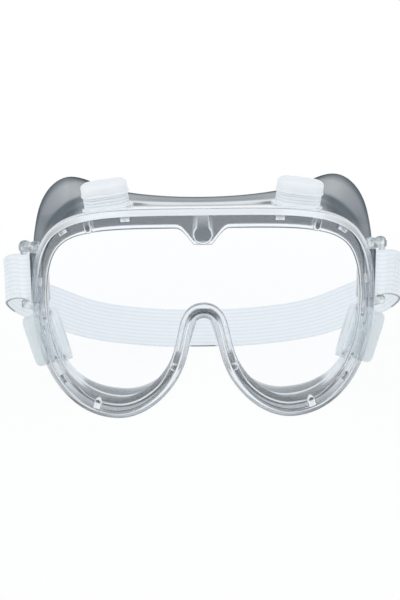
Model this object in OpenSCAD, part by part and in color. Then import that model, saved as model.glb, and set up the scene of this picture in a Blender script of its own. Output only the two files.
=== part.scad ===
// Protective goggles: a soft clear frame that seals on the face, a clear wrapped lens, four
// indirect vents with pull-off caps, and an elastic strap on two hinged buckles.
// Millimetres, +Z up, the lens faces -Y, and the part stands on the lobes of its rim and its strap.

/* [Rim] */
// Width of the front rim over its outer edge
rim_w = 160; // [146:1:176]
// Height of the front rim at the middle of the brow
rim_h = 99.5; // [92:0.5:108]
// Height of the widest place of the rim
wide_z = 52; // [47:0.5:57]
// Radius that the front wraps on, round an upright axis
wrap_r = 180; // [150:5:300]
// Depth of the rim from front to back
rim_depth = 8; // [7:0.25:11]
// Width of the lip round the lens
lip_w = 2.8; // [2.2:0.1:3.4]
// Bevel on the edges of the lip
lip_bevel = 0.5; // [0.2:0.1:0.8]
// Thickness of the flange that the lens sits on
seat_t = 1.7; // [1.2:0.1:2.4]
// Rim width from outer edge to window at the brow
brow_band = 9.2; // [8:0.2:11]
// Rim width at the side
side_band = 7.4; // [7.2:0.2:9]
// Rim width at the bottom of a lobe
lobe_band = 8.6; // [7.8:0.2:10]
// Rim width at the nose
nose_band = 6.3; // [5.8:0.1:7.5]

/* [Rim outline] */
// How far the brow runs out flat before its corner
brow_reach = 64; // [54:1:70]
// How far the corner hangs down towards the widest place
brow_drop = 43; // [36:1:46]
// How far the side runs down straight below the widest place
cheek_drop = 28; // [22:1:34]
// How far the lobe's bottom reaches outwards
cheek_reach = 25; // [20:1:30]
// Distance of the lowest place of a lobe from the middle
lobe_x = 42; // [37:0.5:47]
// How far the lobe's bottom reaches towards the nose
lobe_reach = 15; // [11:0.5:19]
// Half the width of the nose gap at the flank
flank_x = 8.2; // [7:0.2:12]
// Height of the flank
flank_z = 30; // [26:0.5:34]
// Lean of the flank from upright, in degrees
flank_lean = 16; // [10:1:22]
// Length of the curve below the flank
flank_below = 16; // [12:0.5:20]
// Length of the curve above the flank
flank_above = 11; // [8:0.5:13]
// Height of the top of the nose gap
nose_h = 49.5; // [45:0.5:54]
// Roundness of the top of the nose gap
nose_reach = 5.6; // [5:0.2:8]

/* [Skirt] */
// Thickness of the skirt wall
wall = 1.8; // [1.4:0.1:2.4]
// Thickness of the face edge
edge_t = 1.3; // [0.9:0.1:1.8]
// Depth of the face edge at the middle of the forehead
forehead_d = 25; // [21:0.5:30]
// Depth of the face edge at the temple
temple_d = 60; // [54:1:66]
// Depth of the face edge at the side
side_d = 52; // [48:1:58]
// Depth of the face edge at the cheek
cheek_d = 45; // [41:1:50]
// Depth of the face edge at the bridge of the nose
bridge_d = 16; // [14:0.5:20]
// How far the temple flares outside the rim
temple_flare = 13.7; // [9:0.1:16]
// How far the side flares outside the rim
side_flare = 3.5; // [1:0.5:6]
// How far the wall stands inside the rim's edge at the side
side_inset = 5; // [3.5:0.25:5.5]
// How far the wall stands inside the rim's edge at the brow
brow_inset = 1; // [0.6:0.1:2.5]
// How far the wall stands inside the rim's edge at the lobe
lobe_inset = 4; // [2.5:0.25:4.5]
// How far the wall stands inside the rim's edge at the nose
nose_inset = 2; // [1.6:0.1:2.4]
// How far the forehead flares outside the rim
forehead_flare = 1.5; // [0.5:0.25:4]
// How far the cheek flares outside the rim
cheek_flare = 1; // [0:0.25:3]
// How far the face edge stands into the nose gap at its flank
flank_flare = 1.5; // [0.5:0.25:2]
// How far the face edge stands into the top of the nose gap
nose_flare = 2.5; // [1:0.25:3]

/* [Lens] */
// Thickness of the lens
lens_t = 2; // [1.5:0.1:2.5]
// How far the lens lies behind the front of the lip
lens_recess = 1.2; // [1:0.1:1.6]
// Room round the lens
lens_gap = 0.25; // [0.15:0.05:0.4]
// Width of a retaining tab
tab_w = 4; // [3:0.25:5]
// How far a retaining tab reaches over the lens
tab_reach = 2.2; // [1.6:0.1:3]
// Thickness of a retaining tab
tab_t = 0.9; // [0.6:0.05:1]
// Width of a locating boss
boss_w = 3.4; // [2.6:0.2:4.4]
// Rim left between a locating boss and the window
boss_margin = 0.5; // [0.2:0.1:1]
// Depth of the dip at the middle of the brow
dip_h = 7.5; // [5:0.5:10]
// Half the width of the dip
dip_w = 12; // [10:0.5:15]
// Radius of the round end of the brow key
key_r = 4.4; // [3.6:0.2:5]
// Width of the neck of the brow key
key_neck = 5.6; // [4:0.2:7]
// Distance of the key's round end below the rim's edge
key_drop = 11.5; // [10:0.5:13]

/* [Vents] */
// Length of a brow vent's cap
brow_cap_l = 21.5; // [20:0.5:24]
// Length of a cheek vent's cap
cheek_cap_l = 25.5; // [22:0.5:26]
// Width of a vent cap
cap_w = 12.6; // [12:0.2:14.4]
// Height of a vent cap
cap_h = 5.6; // [5:0.2:8]
// Wall of a vent cap
cap_wall = 1.2; // [0.9:0.1:1.6]
// Rounding of the top of a vent cap
cap_round = 2.2; // [1:0.2:2.6]
// How far the collar stands inside the cap's outline
collar_inset = 0.3; // [0.2:0.1:0.8]
// Height of the collar on the frame
collar_h = 5.6; // [4:0.2:7]
// Air gap under the cap
air_gap = 0.5; // [0.4:0.1:0.9]
// Width of the collar's ledge on the frame
collar_ledge = 1.5; // [1.2:0.1:2]
// Wall of the vent's neck
neck_wall = 1.5; // [1.1:0.1:1.8]
// Width of the ring inside the skirt, past the neck
ring_w = 2.8; // [2:0.2:3]
// Thickness of the ring inside the skirt
ring_t = 2; // [1.4:0.1:2.6]
// Radius of a cap's peg
peg_r = 1.1; // [0.9:0.05:1.3]
// Depth of a cap's peg in the collar
peg_l = 3; // [2:0.25:4]
// Number of bars in the grille
grille_n = 5; // [3:1:7]
// Width of a grille bar
grille_bar = 1.2; // [0.8:0.1:1.6]
// How far the vent's pad stands out of the wall
pad_out = 0.4; // [0.3:0.1:0.8]
// How far the vent's pad stands into the skirt
pad_in = 2.1; // [1.9:0.1:2.8]
// Margin of the pad round the cap
pad_margin = 1; // [0.75:0.25:1.5]
// Free fit of pegs, necks and rings
vent_fit = 0.15; // [0.1:0.05:0.25]

/* [Strap and buckles] */
// Width of the strap
strap_w = 22; // [18:0.5:24]
// Thickness of the strap
strap_t = 1.3; // [1:0.1:1.8]
// Distance of the strap's back from the front of the goggles
strap_back = 116; // [105:1:135]
// Height of the middle of a buckle above the widest part of the rim
buckle_rise = 9; // [8:0.5:10.5]
buckle_z = wide_z + buckle_rise;
// Distance of a buckle's hinge from the middle
hinge_x = 80; // [79:0.25:84]
// Depth of a buckle's hinge
hinge_d = 36; // [34:0.5:39]
// Distance from the hinge to the strap bar
bar_arm = 6.6; // [6:0.2:9]
// Radius of the strap bar
bar_r = 1.5; // [1.2:0.1:1.8]
// Height of a buckle arm
arm_h = 3.8; // [3.2:0.1:4.2]
// Room above and below the strap in a buckle
slot_room = 1.2; // [0.8:0.1:1.5]
// Radius of the hinge end of an arm and of the frame's knuckle
knuckle_r = 2.8; // [2.4:0.1:3]
// Radius of the hinge pin
pin_r = 1.1; // [0.9:0.05:1.3]
// Radius of the hinge pin's head
head_r = 2.3; // [1.8:0.1:2.6]
// Height of the hinge pin's head
head_h = 1.5; // [1:0.1:2]
// Angle of a buckle from straight out, towards the back, in degrees
buckle_angle = 25; // [15:1:35]
// Running fit of the hinge
hinge_fit = 0.08; // [0.04:0.01:0.1]
// Gap between a buckle arm and the frame's knuckle
arm_gap = 0.3; // [0.2:0.05:0.5]
// Length of the strap's tail, folded round the bar and sewn down
tail_l = 20; // [16:1:26]
// Room between the strap and the bar that it turns round
loop_gap = 0.3; // [0.2:0.05:0.5]

/* [Hidden] */
$fn = 48;

clear_pvc = [0.72, 0.76, 0.80, 0.5];
clear_pc = [0.86, 0.90, 0.93, 0.3];
vent_white = [0.91, 0.94, 0.95];
strap_white = [0.92, 0.94, 0.96];

// Middle of the whole part from front to back, which the origin stands under
mid_d = (strap_back + strap_t/2)/2;
// Overlap that joins a boss or tab to the moulding that it grows from
root = 0.8;
// Gap behind and in front of the lens
seat_gap = 0.1;
seat_front = lens_recess + lens_t + seat_gap;
seat_back = seat_front + seat_t;

// Points between neighbouring curves of the outline, brow to nose
steps = [24, 18, 16, 10];
// The first curve crowds its points towards the middle of the brow, where the dip is
brow_crowd = 1.5;
wall_steps = 6;

// Values round the rim: 0 at the brow's middle, 1 at the side, 2 at the lobe, 3 at the flank, 4 at the nose
band_keys = [[0, brow_band], [0.55, (2*brow_band + side_band)/3], [1, side_band],
             [1.5, (5*side_band + lobe_band)/6], [2, lobe_band], [3, nose_band], [4, nose_band]];
inset_keys = [[0, brow_inset], [0.4, brow_inset], [0.75, (brow_inset + side_inset)/2],
              [1, side_inset], [1.5, side_inset], [2, lobe_inset], [3, nose_inset], [4, nose_inset]];
// Place of the temple, where the face edge flares most
temple_u = 0.48;
flare_keys = [[0, forehead_flare], [0.25, (4*forehead_flare + temple_flare)/5], [temple_u, temple_flare],
              [0.75, (temple_flare + 2*side_flare)/3], [1, side_flare], [1.5, cheek_flare], [2, 0],
              [3, flank_flare], [4, nose_flare]];
depth_keys = [[0, forehead_d], [0.25, (3*forehead_d + 2*temple_d)/5], [temple_u, temple_d],
              [0.75, (temple_d + side_d)/2], [1, side_d], [1.5, (side_d + cheek_d)/2],
              [2, cheek_d], [3, (cheek_d + 2*bridge_d)/3], [4, bridge_d]];
// How far back the wall runs straight, as a share of its depth
wall_straight = 0.5;
// Where the wall turns out to the face edge, as shares of its flare and of its depth
turn_out = 0.35;
turn_back = 0.8;
// The same shares where the temple folds out into a flange, and how hard the fold pulls the wall into it
fold_straight = 0.72;
fold_out = 0.16;
fold_back = 0.86;
fold_pull = 3;
// Flare at which the fold begins
fold_from = 6;
// Over half of a full wave, so that the dip's bottom is flat
dip_wave = 0.68;

function unit(v) = v/norm(v);
function bezier(p, t) =
    pow(1 - t, 3)*p[0] + 3*pow(1 - t, 2)*t*p[1] + 3*(1 - t)*t*t*p[2] + t*t*t*p[3];
function bezier_dir(p, t) =
    unit(pow(1 - t, 2)*(p[1] - p[0]) + 2*(1 - t)*t*(p[2] - p[1]) + t*t*(p[3] - p[2]));

// Smooth value at u through keys of [place, value], level at both ends
function key_slope(k, i) =
    i <= 0 || i >= len(k) - 1 ? 0 : (k[i + 1][1] - k[i - 1][1])/(k[i + 1][0] - k[i - 1][0]);
function key_span(k, u, i = 0) = i >= len(k) - 2 || u < k[i + 1][0] ? i : key_span(k, u, i + 1);
function keyed(k, u) =
    let(i = key_span(k, u), h = k[i + 1][0] - k[i][0], t = (u - k[i][0])/h)
    (2*t*t*t - 3*t*t + 1)*k[i][1] + (t*t*t - 2*t*t + t)*h*key_slope(k, i)
    + (3*t*t - 2*t*t*t)*k[i + 1][1] + (t*t*t - t*t)*h*key_slope(k, i + 1);

// Right half of the rim's outer edge as four curves in X and Z
half_w = rim_w/2;
flank = [flank_x, flank_z];
flank_dir = [-sin(flank_lean), cos(flank_lean)];
outline = [
    [[0, rim_h], [brow_reach, rim_h], [half_w, wide_z + brow_drop], [half_w, wide_z]],
    [[half_w, wide_z], [half_w, wide_z - cheek_drop], [lobe_x + cheek_reach, 0], [lobe_x, 0]],
    [[lobe_x, 0], [lobe_x - lobe_reach, 0], flank - flank_below*flank_dir, flank],
    [flank, flank + flank_above*flank_dir, [nose_reach, nose_h], [0, nose_h]]];
function curve_of(u) = min(floor(u), 3);
function rim_at(u) = bezier(outline[curve_of(u)], u - curve_of(u));
function rim_dir(u) = bezier_dir(outline[curve_of(u)], u - curve_of(u));
function rim_out(u) = let(d = rim_dir(u)) [-d.y, d.x];
function rim_point(u, n) = rim_at(u) + n*rim_out(u);
// Depth of the surface that lies dl behind the wrapped front
function wrapped(x, dl) = wrap_r - sqrt(pow(wrap_r - dl, 2) - x*x);

// Brow dip of the lens seat, seen from the front
function dip(x) = abs(x) >= dip_w ? 0 : dip_h*min(1, dip_wave*(1 + cos(180*abs(x)/dip_w)));
function window_n(u) = -keyed(band_keys, u) - (u < 1 ? dip(rim_at(u).x) : 0);

// Skirt wall at u, as a curve of [distance outside the rim, depth]; it folds out sharply at the temples
function mixed(a, b, k) = a + k*(b - a);
function fold(u) = max(0, min(1, (keyed(flare_keys, u) - fold_from)/(temple_flare - fold_from)));
function pulled(p, t, w) =
    let(a = pow(1 - t, 3), b = 3*w*pow(1 - t, 2)*t, c = 3*w*(1 - t)*t*t, d = t*t*t)
    (a*p[0] + b*p[1] + c*p[2] + d*p[3])/(a + b + c + d);
function wall_curve(u) =
    let(n0 = -keyed(inset_keys, u), y0 = wrapped(rim_point(u, n0).x, rim_depth),
        f = keyed(flare_keys, u), y1 = keyed(depth_keys, u), k = fold(u))
    [[n0, y0], [n0, y0 + mixed(wall_straight, fold_straight, k)*(y1 - y0)],
     [n0 + mixed(turn_out, fold_out, k)*(f - n0), y0 + mixed(turn_back, fold_back, k)*(y1 - y0)], [f, y1]];
function wall_out(u, t) = pulled(wall_curve(u), t, mixed(1, fold_pull, fold(u)));
wall_step = 0.01;
function wall_dir(u, t) = unit(wall_out(u, min(1, t + wall_step)) - wall_out(u, max(0, t - wall_step)));
function wall_in(u, t) =
    let(d = wall_dir(u, t)) wall_out(u, t) + (wall + t*(edge_t - wall))*[-d.y, d.x];

// One section of the moulding: rim front, wall out to the face edge, back inside, then the lens seat
function on_wrap(u, n, dl) = let(p = rim_point(u, n)) [p.x, wrapped(p.x, dl), p.y];
function on_wall(u, q) = let(p = rim_point(u, q.x)) [p.x, q.y, p.y];
function section(u) =
    let(lip_n = -lip_w, in_n = -keyed(inset_keys, u) - wall, win_n = window_n(u)) concat(
        [on_wrap(u, -lip_bevel, 0), on_wrap(u, 0, lip_bevel), on_wrap(u, 0, rim_depth)],
        [for (k = [0:wall_steps]) on_wall(u, wall_out(u, k/wall_steps))],
        [for (k = [wall_steps:-1:1]) on_wall(u, wall_in(u, k/wall_steps))],
        [on_wrap(u, in_n, seat_back), on_wrap(u, win_n, seat_back), on_wrap(u, win_n, seat_front),
         on_wrap(u, lip_n, seat_front), on_wrap(u, lip_n, lip_bevel), on_wrap(u, lip_n + lip_bevel, 0)]);

right_u = concat([for (i = [0:steps[0] - 1]) pow(i/steps[0], brow_crowd)],
                 [for (c = [1:3]) for (i = [0:steps[c] - 1]) c + i/steps[c]], [4]);
function mirrored(points) = [for (p = points) [-p.x, p.y, p.z]];
function both_sides(right, left) = concat(right, [for (i = [len(left) - 2:-1:1]) left[i]]);

// Closed tube of triangles through rings of equal length; ends are capped unless the rings close up
function ring_faces(m, k, closed) = [for (i = [0:m - (closed ? 1 : 2)]) for (j = [0:k - 1])
    let(a = i*k + j, b = i*k + (j + 1)%k, c = ((i + 1)%m)*k + (j + 1)%k, d = ((i + 1)%m)*k + j)
    each [[a, b, c], [a, c, d]]];
function cap_faces(m, k) = [for (j = [1:k - 2])
    each [[0, j + 1, j], [(m - 1)*k, (m - 1)*k + j, (m - 1)*k + j + 1]]];

// Flat shapes that keep their true arcs
module stadium(l, w) {
    square([l - w, w], center = true);
    for (s = [-1, 1]) translate([s*(l - w)/2, 0]) circle(d = w);
}
module slab(l, w, z0, z1) { translate([0, 0, z0]) linear_extrude(z1 - z0) stadium(l, w); }
module tongue(w, l, more = 0) {
    translate([-w/2 - more, -l + w/2]) square([w + 2*more, l - w/2]);
    translate([0, -l + w/2]) circle(w/2 + more);
}

// Puts children on the wrapped rim at u: local x along the rim, y into the depth, z outwards
module on_rim(u) {
    p = rim_at(u);
    n = rim_out(u);
    translate([p.x, wrapped(p.x, 0), p.y]) rotate([0, 0, asin(p.x/wrap_r)])
        rotate([0, atan2(n.x, n.y), 0]) children();
}
module each_side() { for (s = [0, 1]) mirror([s, 0, 0]) children(); }

// Places of the lens tabs and bosses round the right half
tab_us = [0.215, 0.525, 0.9, 1.155, 1.515];
boss_us = [0.375, 1.86, 2.875];

function boss_l(u) = keyed(band_keys, u) - lip_w - boss_margin;
module boss_shapes(more) {
    for (u = boss_us) on_rim(u) translate([0, seat_front + root, root - lip_w]) rotate([90, 0, 0])
        linear_extrude(seat_front + root - lip_bevel) tongue(boss_w, boss_l(u) + root, more);
}
module key_shape(more) {
    translate([0, seat_front + root, rim_h]) rotate([90, 0, 0])
        linear_extrude(seat_front + root - lip_bevel) {
            translate([0, -key_drop]) circle(key_r + more);
            translate([-key_neck/2 - more, -key_drop])
                square([key_neck + 2*more, key_drop - lip_w + root]);
        }
}

// Vents: two on the brow and two on the cheeks, each on the wall at its own place
vent_us = [0.285, 1.265];
vent_ts = [0.23, 0.3];
cap_l = [brow_cap_l, cheek_cap_l];
function collar_l(i) = cap_l[i] - 2*collar_inset;
collar_w = cap_w - 2*collar_inset;
function slot_l(i) = collar_l(i) - 2*collar_ledge;
slot_w = collar_w - 2*collar_ledge;
function neck_l(i) = slot_l(i) - 2*vent_fit;
neck_w = slot_w - 2*vent_fit;
pad_t = wall + pad_out + pad_in;
function peg_x(i) = (cap_l[i] - cap_w)/2 + cap_w/4;
// Step from a cap's peg to the shoulder that stands on the collar
peg_shoulder = 0.7;
peg_foot = peg_r + peg_shoulder;
function passage_l(i) = 2*(peg_x(i) - peg_foot - vent_fit);
passage_w = neck_w - 2*neck_wall;
function vent_wall_dir(i) = wall_dir(vent_us[i], vent_ts[i]);
function vent_at(i) = on_wall(vent_us[i], wall_out(vent_us[i], vent_ts[i]));
function vent_lean(i) = let(d = vent_wall_dir(i)) atan2(d.x, d.y);
function vent_turn(i) = let(n = rim_out(vent_us[i])) atan2(n.x, n.y);
function vent_axis(i) = let(a = vent_turn(i), b = vent_lean(i)) [cos(b)*sin(a), -sin(b), cos(b)*cos(a)];

// Puts children on a vent's place: local x along the rim, y to the back, z outwards from the pad's face
module on_vent(i, left) {
    mirror([left ? 1 : 0, 0, 0]) translate(vent_at(i)) rotate([0, vent_turn(i), 0])
        rotate([vent_lean(i), 0, 0]) translate([0, 0, pad_out]) children();
}
module vent_pads() {
    difference() {
        for (i = [0, 1]) for (left = [false, true]) on_vent(i, left)
            slab(cap_l[i] + 2*pad_margin, cap_w + 2*pad_margin, -pad_t, 0);
        arm_room();
    }
}
module vent_slots() {
    for (i = [0, 1]) for (left = [false, true]) on_vent(i, left)
        slab(slot_l(i), slot_w, -pad_t - root, root);
}

module vent_body(i, left) {
    color(vent_white) on_vent(i, left) difference() {
        union() {
            slab(collar_l(i), collar_w, 0, collar_h);
            slab(neck_l(i), neck_w, -pad_t - ring_t, root);
        }
        difference() {
            slab(passage_l(i), passage_w, -pad_t - ring_t - root, collar_h + root);
            for (k = [1:grille_n])
                translate([(k/(grille_n + 1) - 1/2)*passage_l(i), 0, collar_h - grille_bar/2])
                    cube([grille_bar, neck_w, grille_bar], center = true);
        }
        for (s = [-1, 1]) translate([s*peg_x(i), 0, collar_h - peg_l - 2*vent_fit])
            cylinder(h = peg_l + root, r = peg_r + vent_fit);
    }
}
module vent_ring(i, left) {
    color(vent_white) on_vent(i, left) difference() {
        slab(neck_l(i) + 2*ring_w, neck_w + 2*ring_w, -pad_t - ring_t, -pad_t);
        slab(slot_l(i), slot_w, -pad_t - ring_t - root, -pad_t + root);
    }
}
module cap_profile() {
    square([cap_w/2 - cap_round, cap_h]);
    square([cap_w/2, cap_h - cap_round]);
    translate([cap_w/2 - cap_round, cap_h - cap_round]) circle(cap_round);
}
module vent_cap(i, left) {
    straight = cap_l[i] - cap_w;
    color(vent_white) on_vent(i, left) translate([0, 0, collar_h + air_gap]) {
        difference() {
            union() {
                for (s = [-1, 1]) translate([s*straight/2, 0, 0]) rotate_extrude() cap_profile();
                translate([-straight/2, 0, 0]) rotate([90, 0, 90]) linear_extrude(straight) {
                    cap_profile();
                    mirror([1, 0]) cap_profile();
                }
            }
            slab(cap_l[i] - 2*cap_wall, cap_w - 2*cap_wall, -root, cap_h - cap_wall - cap_round/2);
        }
        for (s = [-1, 1]) translate([s*peg_x(i), 0, 0]) {
            translate([0, 0, -air_gap]) cylinder(h = cap_h + air_gap - cap_wall, r = peg_foot);
            translate([0, 0, -air_gap - peg_l]) cylinder(h = peg_l + root, r = peg_r);
        }
    }
}

// Hinge of a buckle on the frame
slot_h = strap_w + 2*slot_room;
knuckle_h = slot_h - 2*arm_gap;
// Place on the wall that the knuckle's web grows from, round the rim and back along the wall
web_u = 0.93;
web_v = 0.35;
// Step from the knuckle's side to its web
web_inset = 0.4;
wall_x = on_wall(web_u, wall_out(web_u, web_v)).x;
module knuckles() {
    each_side() difference() {
        translate([0, 0, buckle_z - knuckle_h/2]) {
            translate([hinge_x, hinge_d, 0]) cylinder(h = knuckle_h, r = knuckle_r);
            translate([wall_x - wall - root, hinge_d - knuckle_r + web_inset, 0])
                cube([hinge_x - wall_x + wall + root, 2*(knuckle_r - web_inset), knuckle_h]);
        }
        translate([hinge_x, hinge_d, 0]) cylinder(h = 2*buckle_z, r = pin_r + hinge_fit);
    }
}

// Room that the vent pads leave for the buckle arms to turn in
module arm_room() {
    each_side() for (s = [-1, 1])
        translate([hinge_x, hinge_d, buckle_z + s*(slot_h + arm_h)/2 - arm_h/2 - arm_gap])
            cylinder(h = arm_h + 2*arm_gap, r = knuckle_r + arm_gap);
}

module frame() {
    ring = [for (u = right_u) section(u)];
    rings = both_sides(ring, [for (r = ring) mirrored(r)]);
    k = len(ring[0]);
    color(clear_pvc) difference() {
        union() {
            polyhedron([for (r = rings) each r], ring_faces(len(rings), k, true), convexity = 10);
            vent_pads();
            knuckles();
            key_shape(0);
            each_side() {
                boss_shapes(0);
                for (u = tab_us) on_rim(u)
                    translate([-tab_w/2, lens_recess - seat_gap - tab_t, -lip_w - tab_reach])
                        cube([tab_w, tab_t, tab_reach + root]);
            }
        }
        vent_slots();
    }
}

module lens() {
    edge = [for (u = right_u) rim_point(u, -lip_w - lens_gap)];
    points = both_sides(edge, [for (p = edge) [-p.x, p.y]]);
    color(clear_pc) difference() {
        intersection() {
            translate([0, wrap_r, 0]) rotate([90, 0, 0]) linear_extrude(wrap_r) polygon(points);
            translate([0, wrap_r, -rim_h]) difference() {
                cylinder(h = 3*rim_h, r = wrap_r - lens_recess);
                translate([0, 0, -root]) cylinder(h = 3*rim_h + 2*root, r = wrap_r - lens_recess - lens_t);
            }
        }
        key_shape(lens_gap);
        each_side() boss_shapes(lens_gap);
    }
}

// A buckle in its own frame: hinge on the axis, arms along x
eye_wall = 0.8;
eye_r = bar_r + eye_wall;
module buckle_shape() {
    for (s = [-1, 1]) translate([0, 0, s*(slot_h + arm_h)/2 - arm_h/2]) difference() {
        union() {
            cylinder(h = arm_h, r = knuckle_r);
            translate([bar_arm, 0, 0]) cylinder(h = arm_h, r = eye_r);
            translate([0, -eye_r, 0]) cube([bar_arm, 2*eye_r, arm_h]);
        }
        translate([0, 0, -root]) cylinder(h = arm_h + 2*root, r = pin_r);
    }
    translate([bar_arm, 0, -slot_h/2 - arm_h/2]) cylinder(h = slot_h + arm_h, r = bar_r);
}
module on_hinge(left) {
    mirror([left ? 1 : 0, 0, 0]) translate([hinge_x, hinge_d, buckle_z])
        rotate([0, 0, buckle_angle]) children();
}
module buckle(left) { color(clear_pc) on_hinge(left) buckle_shape(); }
module hinge_pin(left) {
    color(clear_pc) on_hinge(left) {
        translate([0, 0, -slot_h/2 - arm_h]) cylinder(h = slot_h + 2*arm_h + head_h/2, r = pin_r);
        translate([0, 0, slot_h/2 + arm_h]) cylinder(h = head_h, r = head_r);
    }
}

// Strap: its tail, round the bar, out in a loose bulge, then down to stand on its edge behind
bar_at = [hinge_x + bar_arm*cos(buckle_angle), hinge_d + bar_arm*sin(buckle_angle)];
loop_r = bar_r + loop_gap + strap_t/2;
sewn_gap = 0.25;
// Route of the right half: distance outside the hinge, share of the way back, lift above lying on the edge
route = [[16, 0.22, 45.5], [21, 0.46, 38], [17, 0.70, 27.5],
         [3, 0.86, 17], [-20, 0.955, 6.4], [-50, 0.993, 1.2]];
function route_at(r) = [hinge_x + r[0], hinge_d + r[1]*(strap_back - hinge_d), strap_w/2 + r[2]];
first = route_at(route[0]);
strap_dir = unit([first.x, first.y] - bar_at);
strap_side = [strap_dir.y, -strap_dir.x];
function by_bar(along, across) =
    let(p = bar_at + along*strap_dir + across*strap_side) [p.x, p.y, buckle_z];
// Length of the straight lead-in that sets the band's direction at the bar
lead_in = 15;
right_knots = concat([by_bar(-lead_in, loop_r), by_bar(0, loop_r)], [for (r = route) route_at(r)]);
function turned(points) = let(m = mirrored(points)) [for (i = [len(m) - 1:-1:0]) m[i]];
strap_knots = concat(right_knots, [[0, strap_back, strap_w/2]], turned(right_knots));
// Point of the band at v, with v a whole number at each knot after the lead-in
function band_at(v) =
    let(i = min(floor(v), len(strap_knots) - 4), t = v - i, p = [for (k = [0:3]) strap_knots[i + k]])
    0.5*(2*p[1] + t*(p[2] - p[0]) + t*t*(2*p[0] - 5*p[1] + 4*p[2] - p[3])
         + t*t*t*(3*p[1] - p[0] - 3*p[2] + p[3]));
side_step = 0.02;
function band_side(v) = let(d = band_at(v + side_step) - band_at(v)) unit([d.y, -d.x, 0]);
function ease(t) = let(c = max(0, min(1, t))) c*c*(3 - 2*c);
tail_v = tail_l/norm(first - by_bar(0, loop_r));
// The folded tail starts a full loop inside the band and closes up to it
function tail_at(v) =
    let(close = strap_t + sewn_gap) band_at(v) - (2*loop_r - (2*loop_r - close)*ease(2*v))*band_side(v);
band_steps = 5;
tail_steps = 7;
middle_v = len(route) + 1;
right_end = concat([for (i = [0:tail_steps - 1]) tail_at(tail_v*(1 - i/tail_steps))],
                   [for (a = [0:30:150]) by_bar(-loop_r*sin(a), -loop_r*cos(a))]);
strap_path = concat(right_end, [for (i = [0:2*middle_v*band_steps]) band_at(i/band_steps)],
                    turned(right_end));

module strap() {
    n = len(strap_path);
    rings = [for (i = [0:n - 1])
        let(d = unit(strap_path[min(i + 1, n - 1)] - strap_path[max(i - 1, 0)]),
            up = unit([0, 0, 1] - d.z*d), across = cross(d, up))
        [for (c = [[-1, -1], [1, -1], [1, 1], [-1, 1]])
            strap_path[i] + c.x*strap_t/2*across + c.y*strap_w/2*up]];
    color(strap_white) polyhedron([for (r = rings) each r],
                                  concat(ring_faces(n, 4, false), cap_faces(n, 4)), convexity = 10);
}

module placed() { translate([0, -mid_d, 0]) children(); }

placed() frame();
placed() lens();
placed() vent_body(0, true);  // vent_body_top_left
placed() vent_body(0, false);  // vent_body_top_right
placed() vent_body(1, true);  // vent_body_side_left
placed() vent_body(1, false);  // vent_body_side_right
placed() vent_ring(0, true);  // vent_ring_top_left
placed() vent_ring(0, false);  // vent_ring_top_right
placed() vent_ring(1, true);  // vent_ring_side_left
placed() vent_ring(1, false);  // vent_ring_side_right
placed() vent_cap(0, true);  // vent_cap_top_left
placed() vent_cap(0, false);  // vent_cap_top_right
placed() vent_cap(1, true);  // vent_cap_side_left
placed() vent_cap(1, false);  // vent_cap_side_right
placed() buckle(true);  // buckle_left
placed() buckle(false);  // buckle_right
placed() hinge_pin(true);  // hinge_pin_left
placed() hinge_pin(false);  // hinge_pin_right
placed() strap();
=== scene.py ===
# Protective goggles dressed for the picture: clear soft frame, clear lens, white vents, ribbed elastic strap.
# Shapes are worked out in millimetres, with y as the depth behind the front, then placed in the part's frame.
import math

import bmesh
import bpy
from mathutils import Matrix, Quaternion, Vector


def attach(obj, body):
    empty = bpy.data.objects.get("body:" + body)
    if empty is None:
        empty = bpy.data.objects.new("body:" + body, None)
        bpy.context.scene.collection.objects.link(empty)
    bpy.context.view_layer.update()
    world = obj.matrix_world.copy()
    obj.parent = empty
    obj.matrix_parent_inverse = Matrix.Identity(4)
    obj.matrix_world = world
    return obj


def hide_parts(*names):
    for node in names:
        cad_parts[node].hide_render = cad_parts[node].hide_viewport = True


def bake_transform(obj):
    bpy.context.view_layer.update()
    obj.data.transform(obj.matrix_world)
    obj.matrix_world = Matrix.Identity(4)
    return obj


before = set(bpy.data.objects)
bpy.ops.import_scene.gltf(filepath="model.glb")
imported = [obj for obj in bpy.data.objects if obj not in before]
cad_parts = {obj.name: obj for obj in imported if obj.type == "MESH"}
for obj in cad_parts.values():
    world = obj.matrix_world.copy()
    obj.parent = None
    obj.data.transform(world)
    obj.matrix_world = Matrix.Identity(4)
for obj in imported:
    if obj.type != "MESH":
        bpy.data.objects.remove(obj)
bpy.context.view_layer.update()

MM = 0.001
# Middle of the whole part from front to back, which the origin stands under
MID_DEPTH = 58.325
TO_PART = Matrix.Scale(MM, 4) @ Matrix.Translation((0, -MID_DEPTH, 0))
MIRROR_X = Matrix.Scale(-1, 4, (1, 0, 0))
MERGE = 1e-4
# All is worked out on the right, and turned over for the left
SIDES = (("left", MIRROR_X), ("right", Matrix()))
# Either way from a middle
WAYS = (-1, 1)

# Camera of the photograph: a little to the left of the middle, 15 degrees above, turned a touch on its axis
PICTURE_H = 600
FOCAL_PX = 1112.0
SENSOR = 36.0
NEAR_CLIP = 0.01
ELEVATION = 15.0
ROLL = -0.7
DISTANCE = 500.0
AIM = Vector((-1.6, 0.0, 58.2))


def new_object(name, data):
    made = bpy.data.objects.new(name, data)
    bpy.context.scene.collection.objects.link(made)
    return made


def add_camera():
    data = bpy.data.cameras.new("camera")
    data.sensor_fit = "VERTICAL"
    data.sensor_height = SENSOR
    data.lens = FOCAL_PX / PICTURE_H * SENSOR
    data.clip_start = NEAR_CLIP
    camera = new_object("camera", data)
    a = math.radians(ELEVATION)
    back = Vector((0, -math.cos(a), math.sin(a)))
    camera.location = TO_PART @ (AIM + DISTANCE * back)
    turn = Quaternion((0, 0, 1), math.radians(ROLL))
    camera.rotation_euler = (back.to_track_quat("Z", "Y") @ turn).to_euler()
    bpy.context.scene.camera = camera


add_camera()

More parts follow.
